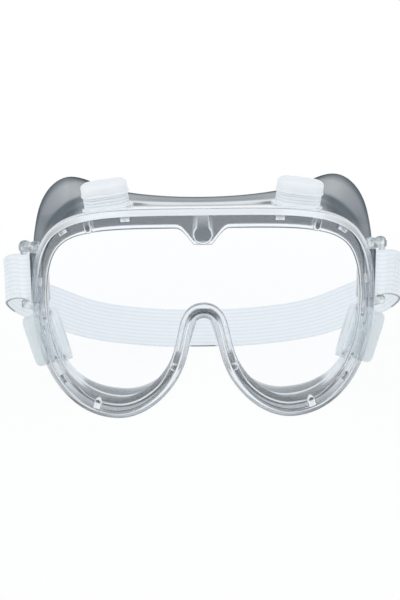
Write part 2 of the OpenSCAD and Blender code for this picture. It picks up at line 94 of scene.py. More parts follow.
# Sizes shared with the solids
RIM_W, RIM_H, RIM_DEPTH = 160.0, 99.5, 8.0
WIDE_Z, WRAP_R = 52.0, 180.0
LIP_W, LIP_BEVEL, SEAT_T = 2.8, 0.5, 1.7
BROW_BAND, SIDE_BAND, LOBE_BAND, NOSE_BAND = 9.2, 7.4, 8.6, 6.3
BROW_REACH, BROW_DROP = 64.0, 43.0
CHEEK_DROP, CHEEK_REACH = 28.0, 25.0
LOBE_X, LOBE_REACH = 42.0, 15.0
FLANK_X, FLANK_Z, FLANK_LEAN = 8.2, 30.0, 16.0
FLANK_BELOW, FLANK_ABOVE = 16.0, 11.0
NOSE_H, NOSE_REACH = 49.5, 5.6
WALL, EDGE_T = 1.8, 1.3
FOREHEAD_D, TEMPLE_D, SIDE_D, CHEEK_D, BRIDGE_D = 25.0, 60.0, 52.0, 45.0, 16.0
TEMPLE_FLARE, SIDE_FLARE, FOREHEAD_FLARE = 13.7, 3.5, 1.5
CHEEK_FLARE, FLANK_FLARE, NOSE_FLARE = 1.0, 1.5, 2.5
SIDE_INSET, BROW_INSET, LOBE_INSET, NOSE_INSET = 5.0, 1.0, 4.0, 2.0
LENS_T, LENS_RECESS, LENS_GAP = 2.0, 1.2, 0.25
TAB_W, TAB_REACH, TAB_T = 4.0, 2.2, 0.9
BOSS_W, BOSS_MARGIN = 3.4, 0.5
DIP_H, DIP_W, DIP_WAVE = 7.5, 12.0, 0.68
KEY_R, KEY_NECK, KEY_DROP = 4.4, 5.6, 11.5
# How far a form sinks into the one that carries it, or a cut passes beyond what it cuts
ROOT = 0.8
SEAT_GAP = 0.1
SEAT_FRONT = LENS_RECESS + LENS_T + SEAT_GAP
SEAT_BACK = SEAT_FRONT + SEAT_T
WALL_STRAIGHT, TURN_OUT, TURN_BACK = 0.5, 0.35, 0.8
FOLD_STRAIGHT, FOLD_OUT, FOLD_BACK = 0.72, 0.16, 0.86
FOLD_PULL, FOLD_FROM = 3.0, 6.0
TEMPLE_U = 0.48

# Values round the rim: 0 at the brow's middle, 1 at the side, 2 at the lobe, 3 at the flank, 4 at the nose
BAND_KEYS = [(0, BROW_BAND), (0.55, (2 * BROW_BAND + SIDE_BAND) / 3), (1, SIDE_BAND),
             (1.5, (5 * SIDE_BAND + LOBE_BAND) / 6), (2, LOBE_BAND), (3, NOSE_BAND), (4, NOSE_BAND)]
INSET_KEYS = [(0, BROW_INSET), (0.4, BROW_INSET), (0.75, (BROW_INSET + SIDE_INSET) / 2),
              (1, SIDE_INSET), (1.5, SIDE_INSET), (2, LOBE_INSET), (3, NOSE_INSET), (4, NOSE_INSET)]
FLARE_KEYS = [(0, FOREHEAD_FLARE), (0.25, (4 * FOREHEAD_FLARE + TEMPLE_FLARE) / 5), (TEMPLE_U, TEMPLE_FLARE),
              (0.75, (TEMPLE_FLARE + 2 * SIDE_FLARE) / 3), (1, SIDE_FLARE), (1.5, CHEEK_FLARE), (2, 0),
              (3, FLANK_FLARE), (4, NOSE_FLARE)]
DEPTH_KEYS = [(0, FOREHEAD_D), (0.25, (3 * FOREHEAD_D + 2 * TEMPLE_D) / 5), (TEMPLE_U, TEMPLE_D),
              (0.75, (TEMPLE_D + SIDE_D) / 2), (1, SIDE_D), (1.5, (SIDE_D + CHEEK_D) / 2),
              (2, CHEEK_D), (3, (CHEEK_D + 2 * BRIDGE_D) / 3), (4, BRIDGE_D)]


def bezier(p, t):
    s = 1 - t
    return s ** 3 * p[0] + 3 * s * s * t * p[1] + 3 * s * t * t * p[2] + t ** 3 * p[3]


def bezier_dir(p, t):
    s = 1 - t
    return (s * s * (p[1] - p[0]) + 2 * s * t * (p[2] - p[1]) + t * t * (p[3] - p[2])).normalized()


def key_slope(keys, i):
    if i <= 0 or i >= len(keys) - 1:
        return 0
    return (keys[i + 1][1] - keys[i - 1][1]) / (keys[i + 1][0] - keys[i - 1][0])


# Smooth value at u through keys of (place, value), level at both ends
def keyed(keys, u):
    i = max(k for k in range(len(keys) - 1) if k == 0 or keys[k][0] <= u)
    h = keys[i + 1][0] - keys[i][0]
    t = (u - keys[i][0]) / h
    rise = 3 * t * t - 2 * t ** 3
    bend_a = (t ** 3 - 2 * t * t + t) * h * key_slope(keys, i)
    bend_b = (t ** 3 - t * t) * h * key_slope(keys, i + 1)
    return (1 - rise) * keys[i][1] + bend_a + rise * keys[i + 1][1] + bend_b


def mixed(a, b, k):
    return a + k * (b - a)


def ease(t):
    c = max(0, min(1, t))
    return c * c * (3 - 2 * c)


# Right half of the rim's outer edge as four curves in X and Z
HALF_W = RIM_W / 2
FLANK = Vector((FLANK_X, FLANK_Z))
FLANK_DIR = Vector((-math.sin(math.radians(FLANK_LEAN)), math.cos(math.radians(FLANK_LEAN))))
OUTLINE = [
    [Vector((0, RIM_H)), Vector((BROW_REACH, RIM_H)), Vector((HALF_W, WIDE_Z + BROW_DROP)),
     Vector((HALF_W, WIDE_Z))],
    [Vector((HALF_W, WIDE_Z)), Vector((HALF_W, WIDE_Z - CHEEK_DROP)), Vector((LOBE_X + CHEEK_REACH, 0)),
     Vector((LOBE_X, 0))],
    [Vector((LOBE_X, 0)), Vector((LOBE_X - LOBE_REACH, 0)), FLANK - FLANK_BELOW * FLANK_DIR, FLANK],
    [FLANK, FLANK + FLANK_ABOVE * FLANK_DIR, Vector((NOSE_REACH, NOSE_H)), Vector((0, NOSE_H))]]
LAST_CURVE = len(OUTLINE) - 1


def rim_at(u):
    c = min(int(u), LAST_CURVE)
    return bezier(OUTLINE[c], u - c)


def rim_out(u):
    c = min(int(u), LAST_CURVE)
    d = bezier_dir(OUTLINE[c], u - c)
    return Vector((-d.y, d.x))


def rim_point(u, n):
    return rim_at(u) + n * rim_out(u)


# Depth of the surface that lies so far behind the wrapped front
def wrapped(x, behind):
    return WRAP_R - math.sqrt((WRAP_R - behind) ** 2 - x * x)


# How far the brow's middle hangs down into the window
def dip(x):
    if abs(x) >= DIP_W:
        return 0
    return DIP_H * min(1, DIP_WAVE * (1 + math.cos(math.pi * x / DIP_W)))


def window_n(u):
    return -keyed(BAND_KEYS, u) - (dip(rim_at(u).x) if u < 1 else 0)


# How far the skirt folds out into a flange at u: fully at the temples, not at all elsewhere
def fold(u):
    return max(0, min(1, (keyed(FLARE_KEYS, u) - FOLD_FROM) / (TEMPLE_FLARE - FOLD_FROM)))


# Skirt wall at u, as a curve of (distance outside the rim, depth)
def wall_out(u, t):
    n0 = -keyed(INSET_KEYS, u)
    y0 = wrapped(rim_point(u, n0).x, RIM_DEPTH)
    flare = keyed(FLARE_KEYS, u) - n0
    back = keyed(DEPTH_KEYS, u) - y0
    k = fold(u)
    start = Vector((n0, y0))
    straight = start + Vector((0, mixed(WALL_STRAIGHT, FOLD_STRAIGHT, k) * back))
    turn = start + Vector((mixed(TURN_OUT, FOLD_OUT, k) * flare, mixed(TURN_BACK, FOLD_BACK, k) * back))
    end = start + Vector((flare, back))
    pull = mixed(1, FOLD_PULL, k)
    s = 1 - t
    weights = (s ** 3, 3 * pull * s * s * t, 3 * pull * s * t * t, t ** 3)
    total = sum((w * p for w, p in zip(weights, (start, straight, turn, end))), Vector((0, 0)))
    return total / sum(weights)


SMALL_STEP = 0.01


def wall_dir(u, t):
    return (wall_out(u, min(1, t + SMALL_STEP)) - wall_out(u, max(0, t - SMALL_STEP))).normalized()


def wall_in(u, t):
    d = wall_dir(u, t)
    return wall_out(u, t) + (WALL + t * (EDGE_T - WALL)) * Vector((-d.y, d.x))


def on_wall(u, q):
    p = rim_point(u, q.x)
    return Vector((p.x, q.y, p.y))


# Closed skin over rings of points; tints holds a value for each point
def skin(rings, closed, tints):
    bm = bmesh.new()
    bm.loops.layers.uv.new("along")
    tint = bm.verts.layers.float.new("tint")
    around = len(rings[0])
    along = len(rings) if closed else len(rings) - 1
    bmesh.ops.create_grid(bm, x_segments=along, y_segments=around, size=1, calc_uvs=True)
    for v in bm.verts:
        i = round((v.co.x + 1) / 2 * along) % len(rings)
        j = round((v.co.y + 1) / 2 * around) % around
        v.co = rings[i][j]
        v[tint] = tints[i][j]
    bmesh.ops.remove_doubles(bm, verts=bm.verts, dist=MERGE)
    open_edges = [e for e in bm.edges if e.is_boundary]
    if open_edges:
        bmesh.ops.holes_fill(bm, edges=open_edges, sides=0)
    return bm


# Closed outline of corners, given as (point, tint) if sharp, or as (point, tint, radius, steps) if rounded
def rounded(corners):
    points = []
    for i, (p, _, *turn) in enumerate(corners):
        if not turn:
            points.append(p)
            continue
        r, steps = turn
        a = corners[i - 1][0]
        b = corners[(i + 1) % len(corners)][0]
        start = p + r * (a - p).normalized()
        end = p + r * (b - p).normalized()
        for k in range(steps + 1):
            t = k / steps
            points.append((1 - t) ** 2 * start + 2 * (1 - t) * t * p + t * t * end)
    return points


def to_object(bm, name):
    bmesh.ops.recalc_face_normals(bm, faces=bm.faces)
    mesh = bpy.data.meshes.new(name)
    bm.to_mesh(mesh)
    bm.free()
    return new_object(name, mesh)


# Object with the forms that make adds with these sizes, all of one tint
def gathered(name, make, *sizes, tint=0.0):
    bm = bmesh.new()
    make(bm, *sizes)
    layer = bm.verts.layers.float.new("tint")
    for v in bm.verts:
        v[layer] = tint
    return to_object(bm, name)


def combine(base, other, operation):
    tool = base.modifiers.new("combine", "BOOLEAN")
    tool.operation = operation
    tool.solver = "MANIFOLD"
    tool.object = other
    graph = bpy.context.evaluated_depsgraph_get()
    mesh = bpy.data.meshes.new_from_object(base.evaluated_get(graph))
    base.modifiers.clear()
    old = base.data
    base.data = mesh
    bpy.data.meshes.remove(old)
    bpy.data.objects.remove(other)


def join(base, make, *sizes, tint=0.0):
    combine(base, gathered("added", make, *sizes, tint=tint), "UNION")


def cut(base, make, *sizes):
    combine(base, gathered("taken", make, *sizes), "DIFFERENCE")


SMOOTH_ANGLE = math.radians(32)


def place(piece, material, body, node):
    piece.data.transform(TO_PART)
    piece.data.shade_smooth()
    piece.data.set_sharp_from_angle(angle=SMOOTH_ANGLE)
    piece.data.materials.clear()
    piece.data.materials.append(material)
    if body:
        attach(piece, body)
    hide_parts(node)
    return piece


# Clear pieces let light through to what is behind them, so they cast no shadow
def see_through(piece):
    piece.visible_shadow = False
    piece.visible_diffuse = False


# Steps round a full turn: plate ends, rods and pins, the brow key, buckle arms and crowns
END_STEPS, ROD_STEPS, KEY_STEPS, ARM_STEPS = 40, 40, 64, 48
# Steps across a rounded edge: of boxes, of plates and rods, of buckle arms, and of the vent covers
BOX_ROUND, PLATE_ROUND, ARM_ROUND, COVER_ROUND = 3, 4, 5, 8


def round_edges(bm, edges, size, steps):
    bmesh.ops.bevel(bm, geom=list(edges), offset=size, segments=steps, profile=0.5, affect="EDGES",
                    material=-1)


def edges_among(verts):
    return {e for v in verts for e in v.link_edges if e.verts[0] in verts and e.verts[1] in verts}


def flat_ring(bm, radius, steps, matrix=Matrix()):
    return bmesh.ops.create_circle(bm, cap_ends=True, radius=radius, segments=steps, matrix=matrix)["verts"]


# Pulls the face inside a ring out into a plate, and gives the points of its far side
def thicken(bm, ring, way):
    inside = [f for f in bm.faces if all(v in ring for v in f.verts)]
    grown = bmesh.ops.extrude_face_region(bm, geom=inside)["geom"]
    far = [g for g in grown if isinstance(g, bmesh.types.BMVert)]
    bmesh.ops.translate(bm, verts=far, vec=way)
    return far


def add_moved(bm, matrix, make):
    before = set(bm.verts)
    make()
    bmesh.ops.transform(bm, matrix=matrix, verts=[v for v in bm.verts if v not in before])


# Flat plate with round ends, from z0 to z1, its top and bottom edges rounded over
def add_slab(bm, length, width, z0, z1, matrix, edges=(0, 0), steps=PLATE_ROUND):
    def plate():
        ring = flat_ring(bm, width / 2, END_STEPS, Matrix.Rotation(math.pi / END_STEPS, 4, "Z"))
        for v in ring:
            v.co.x += math.copysign((length - width) / 2, v.co.x)
            v.co.z = z0
        top = thicken(bm, ring, (0, 0, z1 - z0))
        for verts, size in zip((top, ring), edges):
            if size:
                round_edges(bm, edges_among(verts), size, steps)

    add_moved(bm, matrix, plate)


def add_box(bm, low, high, matrix, edge):
    size = Vector(high) - Vector(low)
    middle = (Vector(high) + Vector(low)) / 2
    box = matrix @ Matrix.Translation(middle) @ Matrix.Diagonal((*size, 1))
    verts = bmesh.ops.create_cube(bm, size=1, matrix=box)["verts"]
    round_edges(bm, {e for v in verts for e in v.link_edges}, edge, BOX_ROUND)


def add_rod(bm, radius, z0, z1, matrix, edge=0.0):
    rod = matrix @ Matrix.Translation((0, 0, (z0 + z1) / 2))
    verts = bmesh.ops.create_cone(bm, cap_ends=True, segments=ROD_STEPS, radius1=radius, radius2=radius,
                                  depth=z1 - z0, matrix=rod)["verts"]
    if edge:
        caps = {f for v in verts for f in v.link_faces if len(f.verts) == ROD_STEPS}
        round_edges(bm, {e for f in caps for e in f.edges}, edge, PLATE_ROUND)


# Colours are sRGB hex values
def colour(text):
    parts = [int(text[i:i + 2], 16) / 255 for i in (1, 3, 5)]
    return [c / 12.92 if c <= 0.04045 else ((c + 0.055) / 1.055) ** 2.4 for c in parts] + [1.0]


def add_node(tree, kind, inputs=None, **settings):
    node = tree.nodes.new("ShaderNode" + kind)
    for name, value in settings.items():
        setattr(node, name, value)
    for name, value in (inputs or {}).items():
        if isinstance(value, bpy.types.NodeSocket):
            tree.links.new(value, node.inputs[name])
        else:
            node.inputs[name].default_value = value
    return node


def empty_tree(block):
    block.use_nodes = True
    block.node_tree.nodes.clear()
    return block.node_tree


def new_material(name):
    material = bpy.data.materials.new(name)
    return material, empty_tree(material)


def per_metre(size_mm):
    return 1 / (size_mm * MM)


def object_spot(tree):
    return add_node(tree, "TexCoord").outputs["Object"]


def painted_light_value(tree):
    return add_node(tree, "Attribute", attribute_name="tint").outputs["Fac"]


def noise(tree, spot, size_mm, detail):
    inputs = {"Vector": spot, "Scale": per_metre(size_mm), "Detail": detail}
    return add_node(tree, "TexNoise", inputs).outputs["Fac"]


def mapped(tree, value, low=0.0, high=1.0, to_low=0.0, to_high=1.0):
    inputs = {"Value": value, "From Min": low, "From Max": high, "To Min": to_low, "To Max": to_high}
    return add_node(tree, "MapRange", inputs).outputs["Result"]


def calculated(tree, operation, a, b):
    return add_node(tree, "Math", {0: a, 1: b}, operation=operation).outputs["Value"]


def toned(tree, factor, a, b):
    inputs = {"Factor": factor, "A": a, "B": b}
    return add_node(tree, "Mix", inputs, data_type="RGBA").outputs["Result"]


def bumped(tree, height, strength, deep_mm):
    inputs = {"Strength": strength, "Distance": deep_mm * MM, "Height": height}
    return add_node(tree, "Bump", inputs).outputs["Normal"]


def finish_material(tree, inputs):
    shader = add_node(tree, "BsdfPrincipled", inputs)
    add_node(tree, "OutputMaterial", {"Surface": shader.outputs["BSDF"]})


# Clear soft PVC, injection moulded in a polished tool, with a gentle flow ripple on its skin. Its tint is
# painted light and shade: above 0 a painted grey shade where it is looked at along a wall, above 1 a darker
# painted shade, and below 0 a painted white highlight where its rim gathers light; both let less light
# through.
def soft_pvc():
    material, tree = new_material("soft_pvc_clear")
    spot = object_spot(tree)
    tint = painted_light_value(tree)
    # Painted white highlight below 0, painted grey shade above 0, darker still above 1
    painted_highlight = mapped(tree, tint, low=0.0, high=-1.0)
    deep_painted_shade = mapped(tree, tint, low=1.0, high=2.0)
    painted_shade_colour = toned(tree, tint, colour("#eef2f5"), colour("#566068"))
    haze = noise(tree, spot, size_mm=3.0, detail=3.0)
    ripple = noise(tree, spot, size_mm=9.0, detail=1.0)
    painted_light_amount = calculated(tree, "MAXIMUM", painted_highlight, deep_painted_shade)
    finish_material(tree, {
        "Base Color": toned(tree, painted_highlight, painted_shade_colour, colour("#fafdff")),
        "Roughness": mapped(tree, haze, low=0.3, high=0.7, to_low=0.03, to_high=0.09), "IOR": 1.53,
        "Transmission Weight": mapped(tree, painted_light_amount, to_low=0.93, to_high=0.2),
        "Normal": bumped(tree, ripple, strength=0.1, deep_mm=0.2)})
    return material


# Clear polycarbonate, polished: hard bright reflections, a faint haze of handling, and random spots of
# painted shade that stand for the light a thick piece bends away
def polycarbonate(name, tint, bent_light_shade, rough, ior, shine, clear):
    material, tree = new_material(name)
    spot = object_spot(tree)
    smudge = noise(tree, spot, size_mm=22.0, detail=4.0)
    bent_light_spots = mapped(tree, noise(tree, spot, size_mm=3.5, detail=1.0), low=0.44, high=0.58)
    finish_material(tree, {
        "Base Color": toned(tree, bent_light_spots, colour(tint), colour(bent_light_shade)),
        "Roughness": mapped(tree, smudge, low=0.35, high=0.75, to_low=rough[0], to_high=rough[1]), "IOR": ior,
        "Transmission Weight": clear, "Specular IOR Level": shine})
    return material


# White low-density polyethylene, moulded in a fine-blasted tool: soft light inside it, a satin skin
def polyethylene(name, low, high):
    material, tree = new_material(name)
    spot = object_spot(tree)
    grain = noise(tree, spot, size_mm=0.5, detail=2.0)
    cloud = noise(tree, spot, size_mm=9.0, detail=2.0)
    finish_material(tree, {
        "Base Color": toned(tree, cloud, colour(low), colour(high)), "Roughness": 0.36, "IOR": 1.51,
        "Subsurface Weight": 0.5, "Subsurface Radius": (1.0, 1.0, 1.0), "Subsurface Scale": 2.5 * MM,
        "Normal": bumped(tree, grain, strength=0.15, deep_mm=0.05)})
    return material


# White knitted elastic: covered rubber threads run along it as ribs, and picks cross them, drawn coarser than
# the real 0.4 mm so that they show
STRAP_W, STRAP_T, STRAP_BACK = 22.0, 1.3, 116.0
PICK_MM = 0.9
RIB_COUNT = 10
SELVEDGE = STRAP_T / 2
RIB_MM = (STRAP_W - 2 * SELVEDGE) / RIB_COUNT
# Turns of a wave texture, in radians, for each unit of its scale
WAVE_RATE = 20


# Wave texture whose bands repeat at so many millimetres
def waves(tree, spot, size_mm, direction, ripple):
    inputs = {"Vector": spot, "Scale": 2 * math.pi / WAVE_RATE * per_metre(size_mm), **ripple}
    return add_node(tree, "TexWave", inputs, bands_direction=direction).outputs["Fac"]


def knitted_elastic():
    material, tree = new_material("elastic_white")
    spot = add_node(tree, "UVMap", uv_map="along").outputs["UV"]
    picks = waves(tree, spot, PICK_MM, "X", {"Distortion": 1.2, "Detail": 2.0, "Detail Scale": 2.0})
    ribs = mapped(tree, waves(tree, spot, RIB_MM, "Y", {}), high=0.45)
    fuzz = noise(tree, spot, size_mm=0.6, detail=3.0)
    slow = noise(tree, spot, size_mm=30.0, detail=1.0)
    wash = toned(tree, slow, colour("#eceff7"), colour("#ecf5f5"))
    yarn = toned(tree, fuzz, wash, colour("#fafcfd"))
    # Painted shade: darker in the grooves between the ribs
    knit = toned(tree, ribs, colour("#e9eef3"), yarn)
    weave = calculated(tree, "ADD", picks, fuzz)
    finish_material(tree, {
        # Painted shadow on the strap's lower edge, where one layer shades the other, set by the tint
        # attribute
        "Base Color": toned(tree, painted_light_value(tree), knit, colour("#5d646b")), "Roughness": 0.78,
        "Sheen Weight": 0.2, "Sheen Roughness": 0.4,
        "Normal": bumped(tree, weave, strength=0.4, deep_mm=0.1)})
    return material


PVC = soft_pvc()
LENS_PC = polycarbonate("polycarbonate_lens", "#fdfeff", "#fdfeff", rough=(0.0, 0.03), ior=1.585, shine=0.2,
                        clear=1.0)
BUCKLE_PC = polycarbonate("polycarbonate_buckle", "#f1f5f5", "#a9b2b6", rough=(0.04, 0.12), ior=1.45,
                          shine=0.5, clear=0.75)
# The top vents are plain white; the side vents are the same white with painted shade, as lit less from above
VENT_WHITE = {"top": polyethylene("polyethylene_white", "#ebf0f4", "#f4f7fa"),
              "side": polyethylene("polyethylene_white_shaded", "#d5dddf", "#dfe6e8")}
ELASTIC = knitted_elastic()


# Places round the right half of the rim, crowded at the middle of the brow, where the dip is
RIM_STEPS = (64, 44, 40, 32)
BROW_CROWD = 1.5
RIM_PLACES = [(i / RIM_STEPS[0]) ** BROW_CROWD for i in range(RIM_STEPS[0])]
RIM_PLACES += [c + i / RIM_STEPS[c] for c in (1, 2, 3) for i in range(RIM_STEPS[c])] + [4]

# Painted shade and highlights round the rim, as tints: the skirt's wall, the lens seat, the outer side, the
# lip's front, the painted line along its inner edge, the bead's painted bright line, and the window's painted
# dark edge
WALL_KEYS = [(0, 1), (0.6, 1), (0.78, 1.05), (0.88, 1), (1, 0.45), (1.1, 0.25), (1.3, 0.15), (1.66, 0.2),
             (1.76, 0.9), (2, 1.05), (2.55, 1.05), (2.75, 0.7), (3, 0.2), (3.5, 0.12), (4, 0.4)]
SEAT_KEYS = [(0, 0.95), (0.6, 0.95), (0.82, 0.85), (0.97, 0.35), (1.12, 0.1), (1.45, 0.14), (1.6, 0.5),
             (1.8, 0.86), (2, 0.9), (2.5, 0.88), (2.86, 0.82), (3.03, 0.78), (3.1, 0), (3.63, 0),
             (3.73, 0.95), (4, 1.1)]
OUTER_KEYS = [(0, -1), (0.5, -0.9), (0.72, -0.6), (0.85, 0.3), (1, 0.15), (1.2, 0.1), (1.42, 0.75),
              (1.68, 0.75), (1.85, 0.05), (2.6, -0.15), (3, 0.1), (4, 0.2)]
FRONT_KEYS = [(0, -1), (0.4, -0.95), (0.52, -0.75), (0.68, -0.45), (0.82, 0.1), (1, 0.1), (1.25, 0),
              (1.42, 0.7), (1.68, 0.7), (1.88, 0.12), (2.6, 0.05), (3, 0.15), (4, -0.1)]
LINE_KEYS = [(0, -1), (0.78, -0.95), (1, 0), (1.3, 0.25), (1.6, -0.5), (2, -0.9), (2.6, -0.9), (3, -0.8),
             (3.63, -0.8), (3.72, 0.9), (4, 1)]
BEAD_KEYS = [(0, -0.9), (0.6, -0.9), (0.85, -0.8), (1, -0.5), (1.5, -0.4), (2, -0.9), (2.6, -0.8), (3, -0.5),
             (4, -0.3)]
WINDOW_KEYS = [(0, 0.6), (0.05, 1), (0.11, 2), (0.29, 2), (0.37, 1), (0.5, 1.6), (0.9, 1.6), (1.05, 0.9),
               (4, 0.9)]
# Widths round the rim of the bead and of the window's painted dark edge
BEAD_WIDTHS = [(0, 1.8), (0.3, 1.8), (0.4, 1.4), (0.5, 1.1), (0.6, 1), (0.8, 0.95), (1, 0.7), (1.5, 0.6),
               (2, 1.15), (2.6, 1.1), (3, 0.8), (3.5, 1.1), (3.72, 2.1), (4, 2.3)]
EDGE_WIDTHS = [(0, 0.65), (0.33, 0.65), (0.37, 0.3), (0.48, 0.45), (0.9, 0.45), (1.05, 0.25), (4, 0.25)]
# At the lobes the bead's painted bright line lies further out on the seat, its ridge gets painted shade, and
# the lip's painted bright line lies further down the lip
BEAD_SHIFTS = [(0, 0), (1.62, 0), (1.8, 1.5), (2.55, 1.5), (2.85, 0.3), (3, 0), (4, 0)]
RIDGE_KEYS = [(0, -0.45), (1, -0.25), (1.5, -0.2), (1.75, 0.9), (2.6, 0.9), (2.9, -0.2), (4, -0.2)]
LOW_LINE = [(0, 0), (1.62, 0), (1.8, 1), (2.6, 1), (2.9, 0), (4, 0)]
LOW_TINT = -0.15
# Painted shade and bright lines along the wall, from the rim to the face edge, at the forehead, temples and
# cheeks
FOREHEAD_SHADE = [(0, -0.2), (0.2, 0.1), (0.25, 0.8), (0.292, 0.7), (0.335, 0.3), (0.42, 0.25), (0.5, -0.6),
                  (0.58, 0.58), (0.9, 0.66), (0.97, 0.95), (1, 1.2)]
TEMPLE_SHADE = [(0, 0.85), (0.1, 0.92), (0.7, 0.95), (0.95, 0.9), (1, 1.1)]
CHEEK_SHADE = [(0, 1.1), (0.12, 1.15), (0.165, 1.1), (0.208, -1), (0.25, 1.1), (0.5, 1.15), (0.88, 1.05),
               (0.95, 1.2), (1, 1.7)]
CHEEK_FROM, CHEEK_TO = 1.4, 1.8
# Painted shade: the temples' outer flange is lighter at its top than the dark crescent beside the rim
FLANGE_KEYS = [(0, 0.66), (0.48, 0.66), (0.56, 0.78), (0.64, 0.86), (0.75, 0.92), (0.85, 0.98), (1, 1),
               (4, 1)]
FLANGE_FROM, FLANGE_TO, FLANGE_STEP = 0.72, 0.97, 0.05
# Shade in the corner between the rim and the inner end of each top vent: round the rim, then along the wall
GAP_PLACES = [(0, 0), (0.13, 0), (0.165, 0.5), (0.19, 1), (0.24, 1), (0.3, 0), (4, 0)]
GAP_SHADE = [(0, 0), (0.24, 0), (0.29, 0.6), (0.34, 1.2), (0.42, 1.2), (0.46, 0.6), (0.5, 0), (1, 0)]
# Steps along the wall, and the first ones that its inner side leaves out, where the seat meets it
WALL_STEPS, INNER_SKIP = 24, 2


def wall_shade(u, t):
    flange = ease((t - FLANGE_FROM) / FLANGE_STEP) - ease((t - FLANGE_TO) / FLANGE_STEP)
    temple = keyed(TEMPLE_SHADE, t) * mixed(1.0, keyed(FLANGE_KEYS, u), flange)
    if u < TEMPLE_U:
        forehead = keyed(FOREHEAD_SHADE, t) + keyed(GAP_PLACES, u) * keyed(GAP_SHADE, t)
        shade = mixed(forehead, temple, fold(u))
    else:
        shade = mixed(temple, keyed(CHEEK_SHADE, t), ease((u - CHEEK_FROM) / (CHEEK_TO - CHEEK_FROM)))
    return shade * keyed(WALL_KEYS, u)


# Rounded corners of the section, as radius and steps: the lip's front and inner edge, the rim's back, the
# face edge, behind the seat, and the bead's foot
LIP_CORNER, INNER_CORNER, BACK_CORNER = (0.8, 5), (0.45, 4), (0.45, 3)
FACE_CORNER, SEAT_CORNER, FOOT_CORNER = (0.55, 4), (0.6, 4), (0.1, 2)
# Parting line of the mould, on the rim's outer side: its depth behind the front, its width, its own depth
PARTING, PARTING_W, GROOVE = 1.0, 1.3, 0.05
# Painted shade along the parting line, round the rim
PARTING_KEYS = [(0, 0.1), (0.04, 0.9), (0.2, 0.9), (0.3, 0.3), (0.5, 0.3), (0.75, 0.35), (1, 0.25), (4, 0.25)]
# A slight hollow in the rim's outer side, so far in from its back
HOLLOW, HOLLOW_IN = 0.04, 1.2
# Slight swell of the lip's face, as distances in from the rim's edge and heights
LIP_SWELL = ((2.3, 0.02), (2.05, 0.04), (1.8, 0.03), (0.85, 0.01))
# Shares of the tints beside them, at the lip's corner, the rim's back and the wall's root
LIP_SHARE, BACK_SHARE, WALL_SHARE = 0.6, 0.4, 0.3
# The bead behind the window's edge: its height, its rounded ridge, and how far in its painted bright line
# starts, each of these two as the lesser of a length and a share of the bead's width
BEAD_T, BEAD_STEPS = 1.0, 4
RIDGE_ROUND, RIDGE_SHARE = 0.5, 0.45
LINE_IN, LINE_SHARE = 0.75, 0.8
# Small steps that part the painted bright line, the painted dark band and the painted dark edge on the seat's
# face
SEAT_NOTCH, NOTCH_W, EDGE_STEP, SEAT_RISE = 0.06, 0.2, 0.02, 0.3
SECTION_KEYS = (WALL_KEYS, SEAT_KEYS, OUTER_KEYS, FRONT_KEYS, LINE_KEYS, BEAD_KEYS, RIDGE_KEYS, WINDOW_KEYS,
                PARTING_KEYS, LOW_LINE, BEAD_SHIFTS, BEAD_WIDTHS, EDGE_WIDTHS)


# One section of the moulding, as corners: the rim's outer side, the wall out to the face edge and back
# inside, the bead round the window, the lens seat, then the lip
def frame_section(u):
    def at(n, behind):
        return Vector((n, wrapped(rim_point(u, n).x, behind)))

    wall, seat, outer, front, line, bead, ridge, edge, parting, low, shift, bead_w, edge_w = (
        keyed(keys, u) for keys in SECTION_KEYS)
    n_wall = -keyed(INSET_KEYS, u)
    n_window = window_n(u)
    n_bead = n_window + bead_w
    n_line = n_window + shift + min(LINE_IN, LINE_SHARE * bead_w)
    n_seat = n_bead + shift
    turn = min(RIDGE_ROUND, RIDGE_SHARE * bead_w)
    corners = [
        (at(0, 0), min(outer, LIP_SHARE * outer), *LIP_CORNER),
        (at(0, PARTING - NOTCH_W), outer),
        (at(-GROOVE, PARTING), parting),
        (at(-GROOVE, PARTING + PARTING_W), parting),
        (at(0, PARTING + PARTING_W + NOTCH_W), outer),
        (at(-HOLLOW, RIM_DEPTH - HOLLOW_IN), outer),
        (at(0, RIM_DEPTH), min(outer, BACK_SHARE * wall), *BACK_CORNER),
        (at(n_wall, RIM_DEPTH), min(outer, WALL_SHARE * wall), *BACK_CORNER)]
    steps = [k / WALL_STEPS for k in range(1, WALL_STEPS)]
    corners += [(wall_out(u, t), wall_shade(u, t)) for t in steps]
    corners += [(side(u, 1), wall_shade(u, 1), *FACE_CORNER) for side in (wall_out, wall_in)]
    corners += [(wall_in(u, t), wall_shade(u, t)) for t in reversed(steps[INNER_SKIP:])]
    corners += [
        (at(n_wall - WALL, SEAT_BACK), seat, *SEAT_CORNER),
        (at(n_bead + NOTCH_W, SEAT_BACK), seat, *FOOT_CORNER),
        (at(n_bead, SEAT_BACK + BEAD_T), ridge, turn, BEAD_STEPS),
        (at(n_window, SEAT_BACK + BEAD_T), ridge, turn, BEAD_STEPS),
        (at(n_window, SEAT_FRONT), edge, edge_w, BEAD_STEPS),
        (at(n_window + edge_w + EDGE_STEP + shift, SEAT_FRONT), edge),
        (at(n_line, SEAT_FRONT - SEAT_NOTCH), bead),
        (at(n_seat, SEAT_FRONT - SEAT_NOTCH), bead),
        (at(n_seat + NOTCH_W, SEAT_FRONT), seat),
        (at(-LIP_W - SEAT_RISE, SEAT_FRONT + SEAT_NOTCH / 2), seat),
        (at(-LIP_W, SEAT_FRONT - SEAT_NOTCH), line),
        (at(-LIP_W, 0), mixed(line, LOW_TINT, low), *INNER_CORNER)]
    lip_tints = (mixed(front, LOW_TINT, low), mixed(front, line, low), front, front)
    return corners + [(at(-n, -height), tint) for (n, height), tint in zip(LIP_SWELL, lip_tints)]


# Tint of each point that a section's corners are drawn with
def section_tints(corners):
    return [tint for _, tint, *turn in corners for k in range(turn[1] + 1 if turn else 1)]


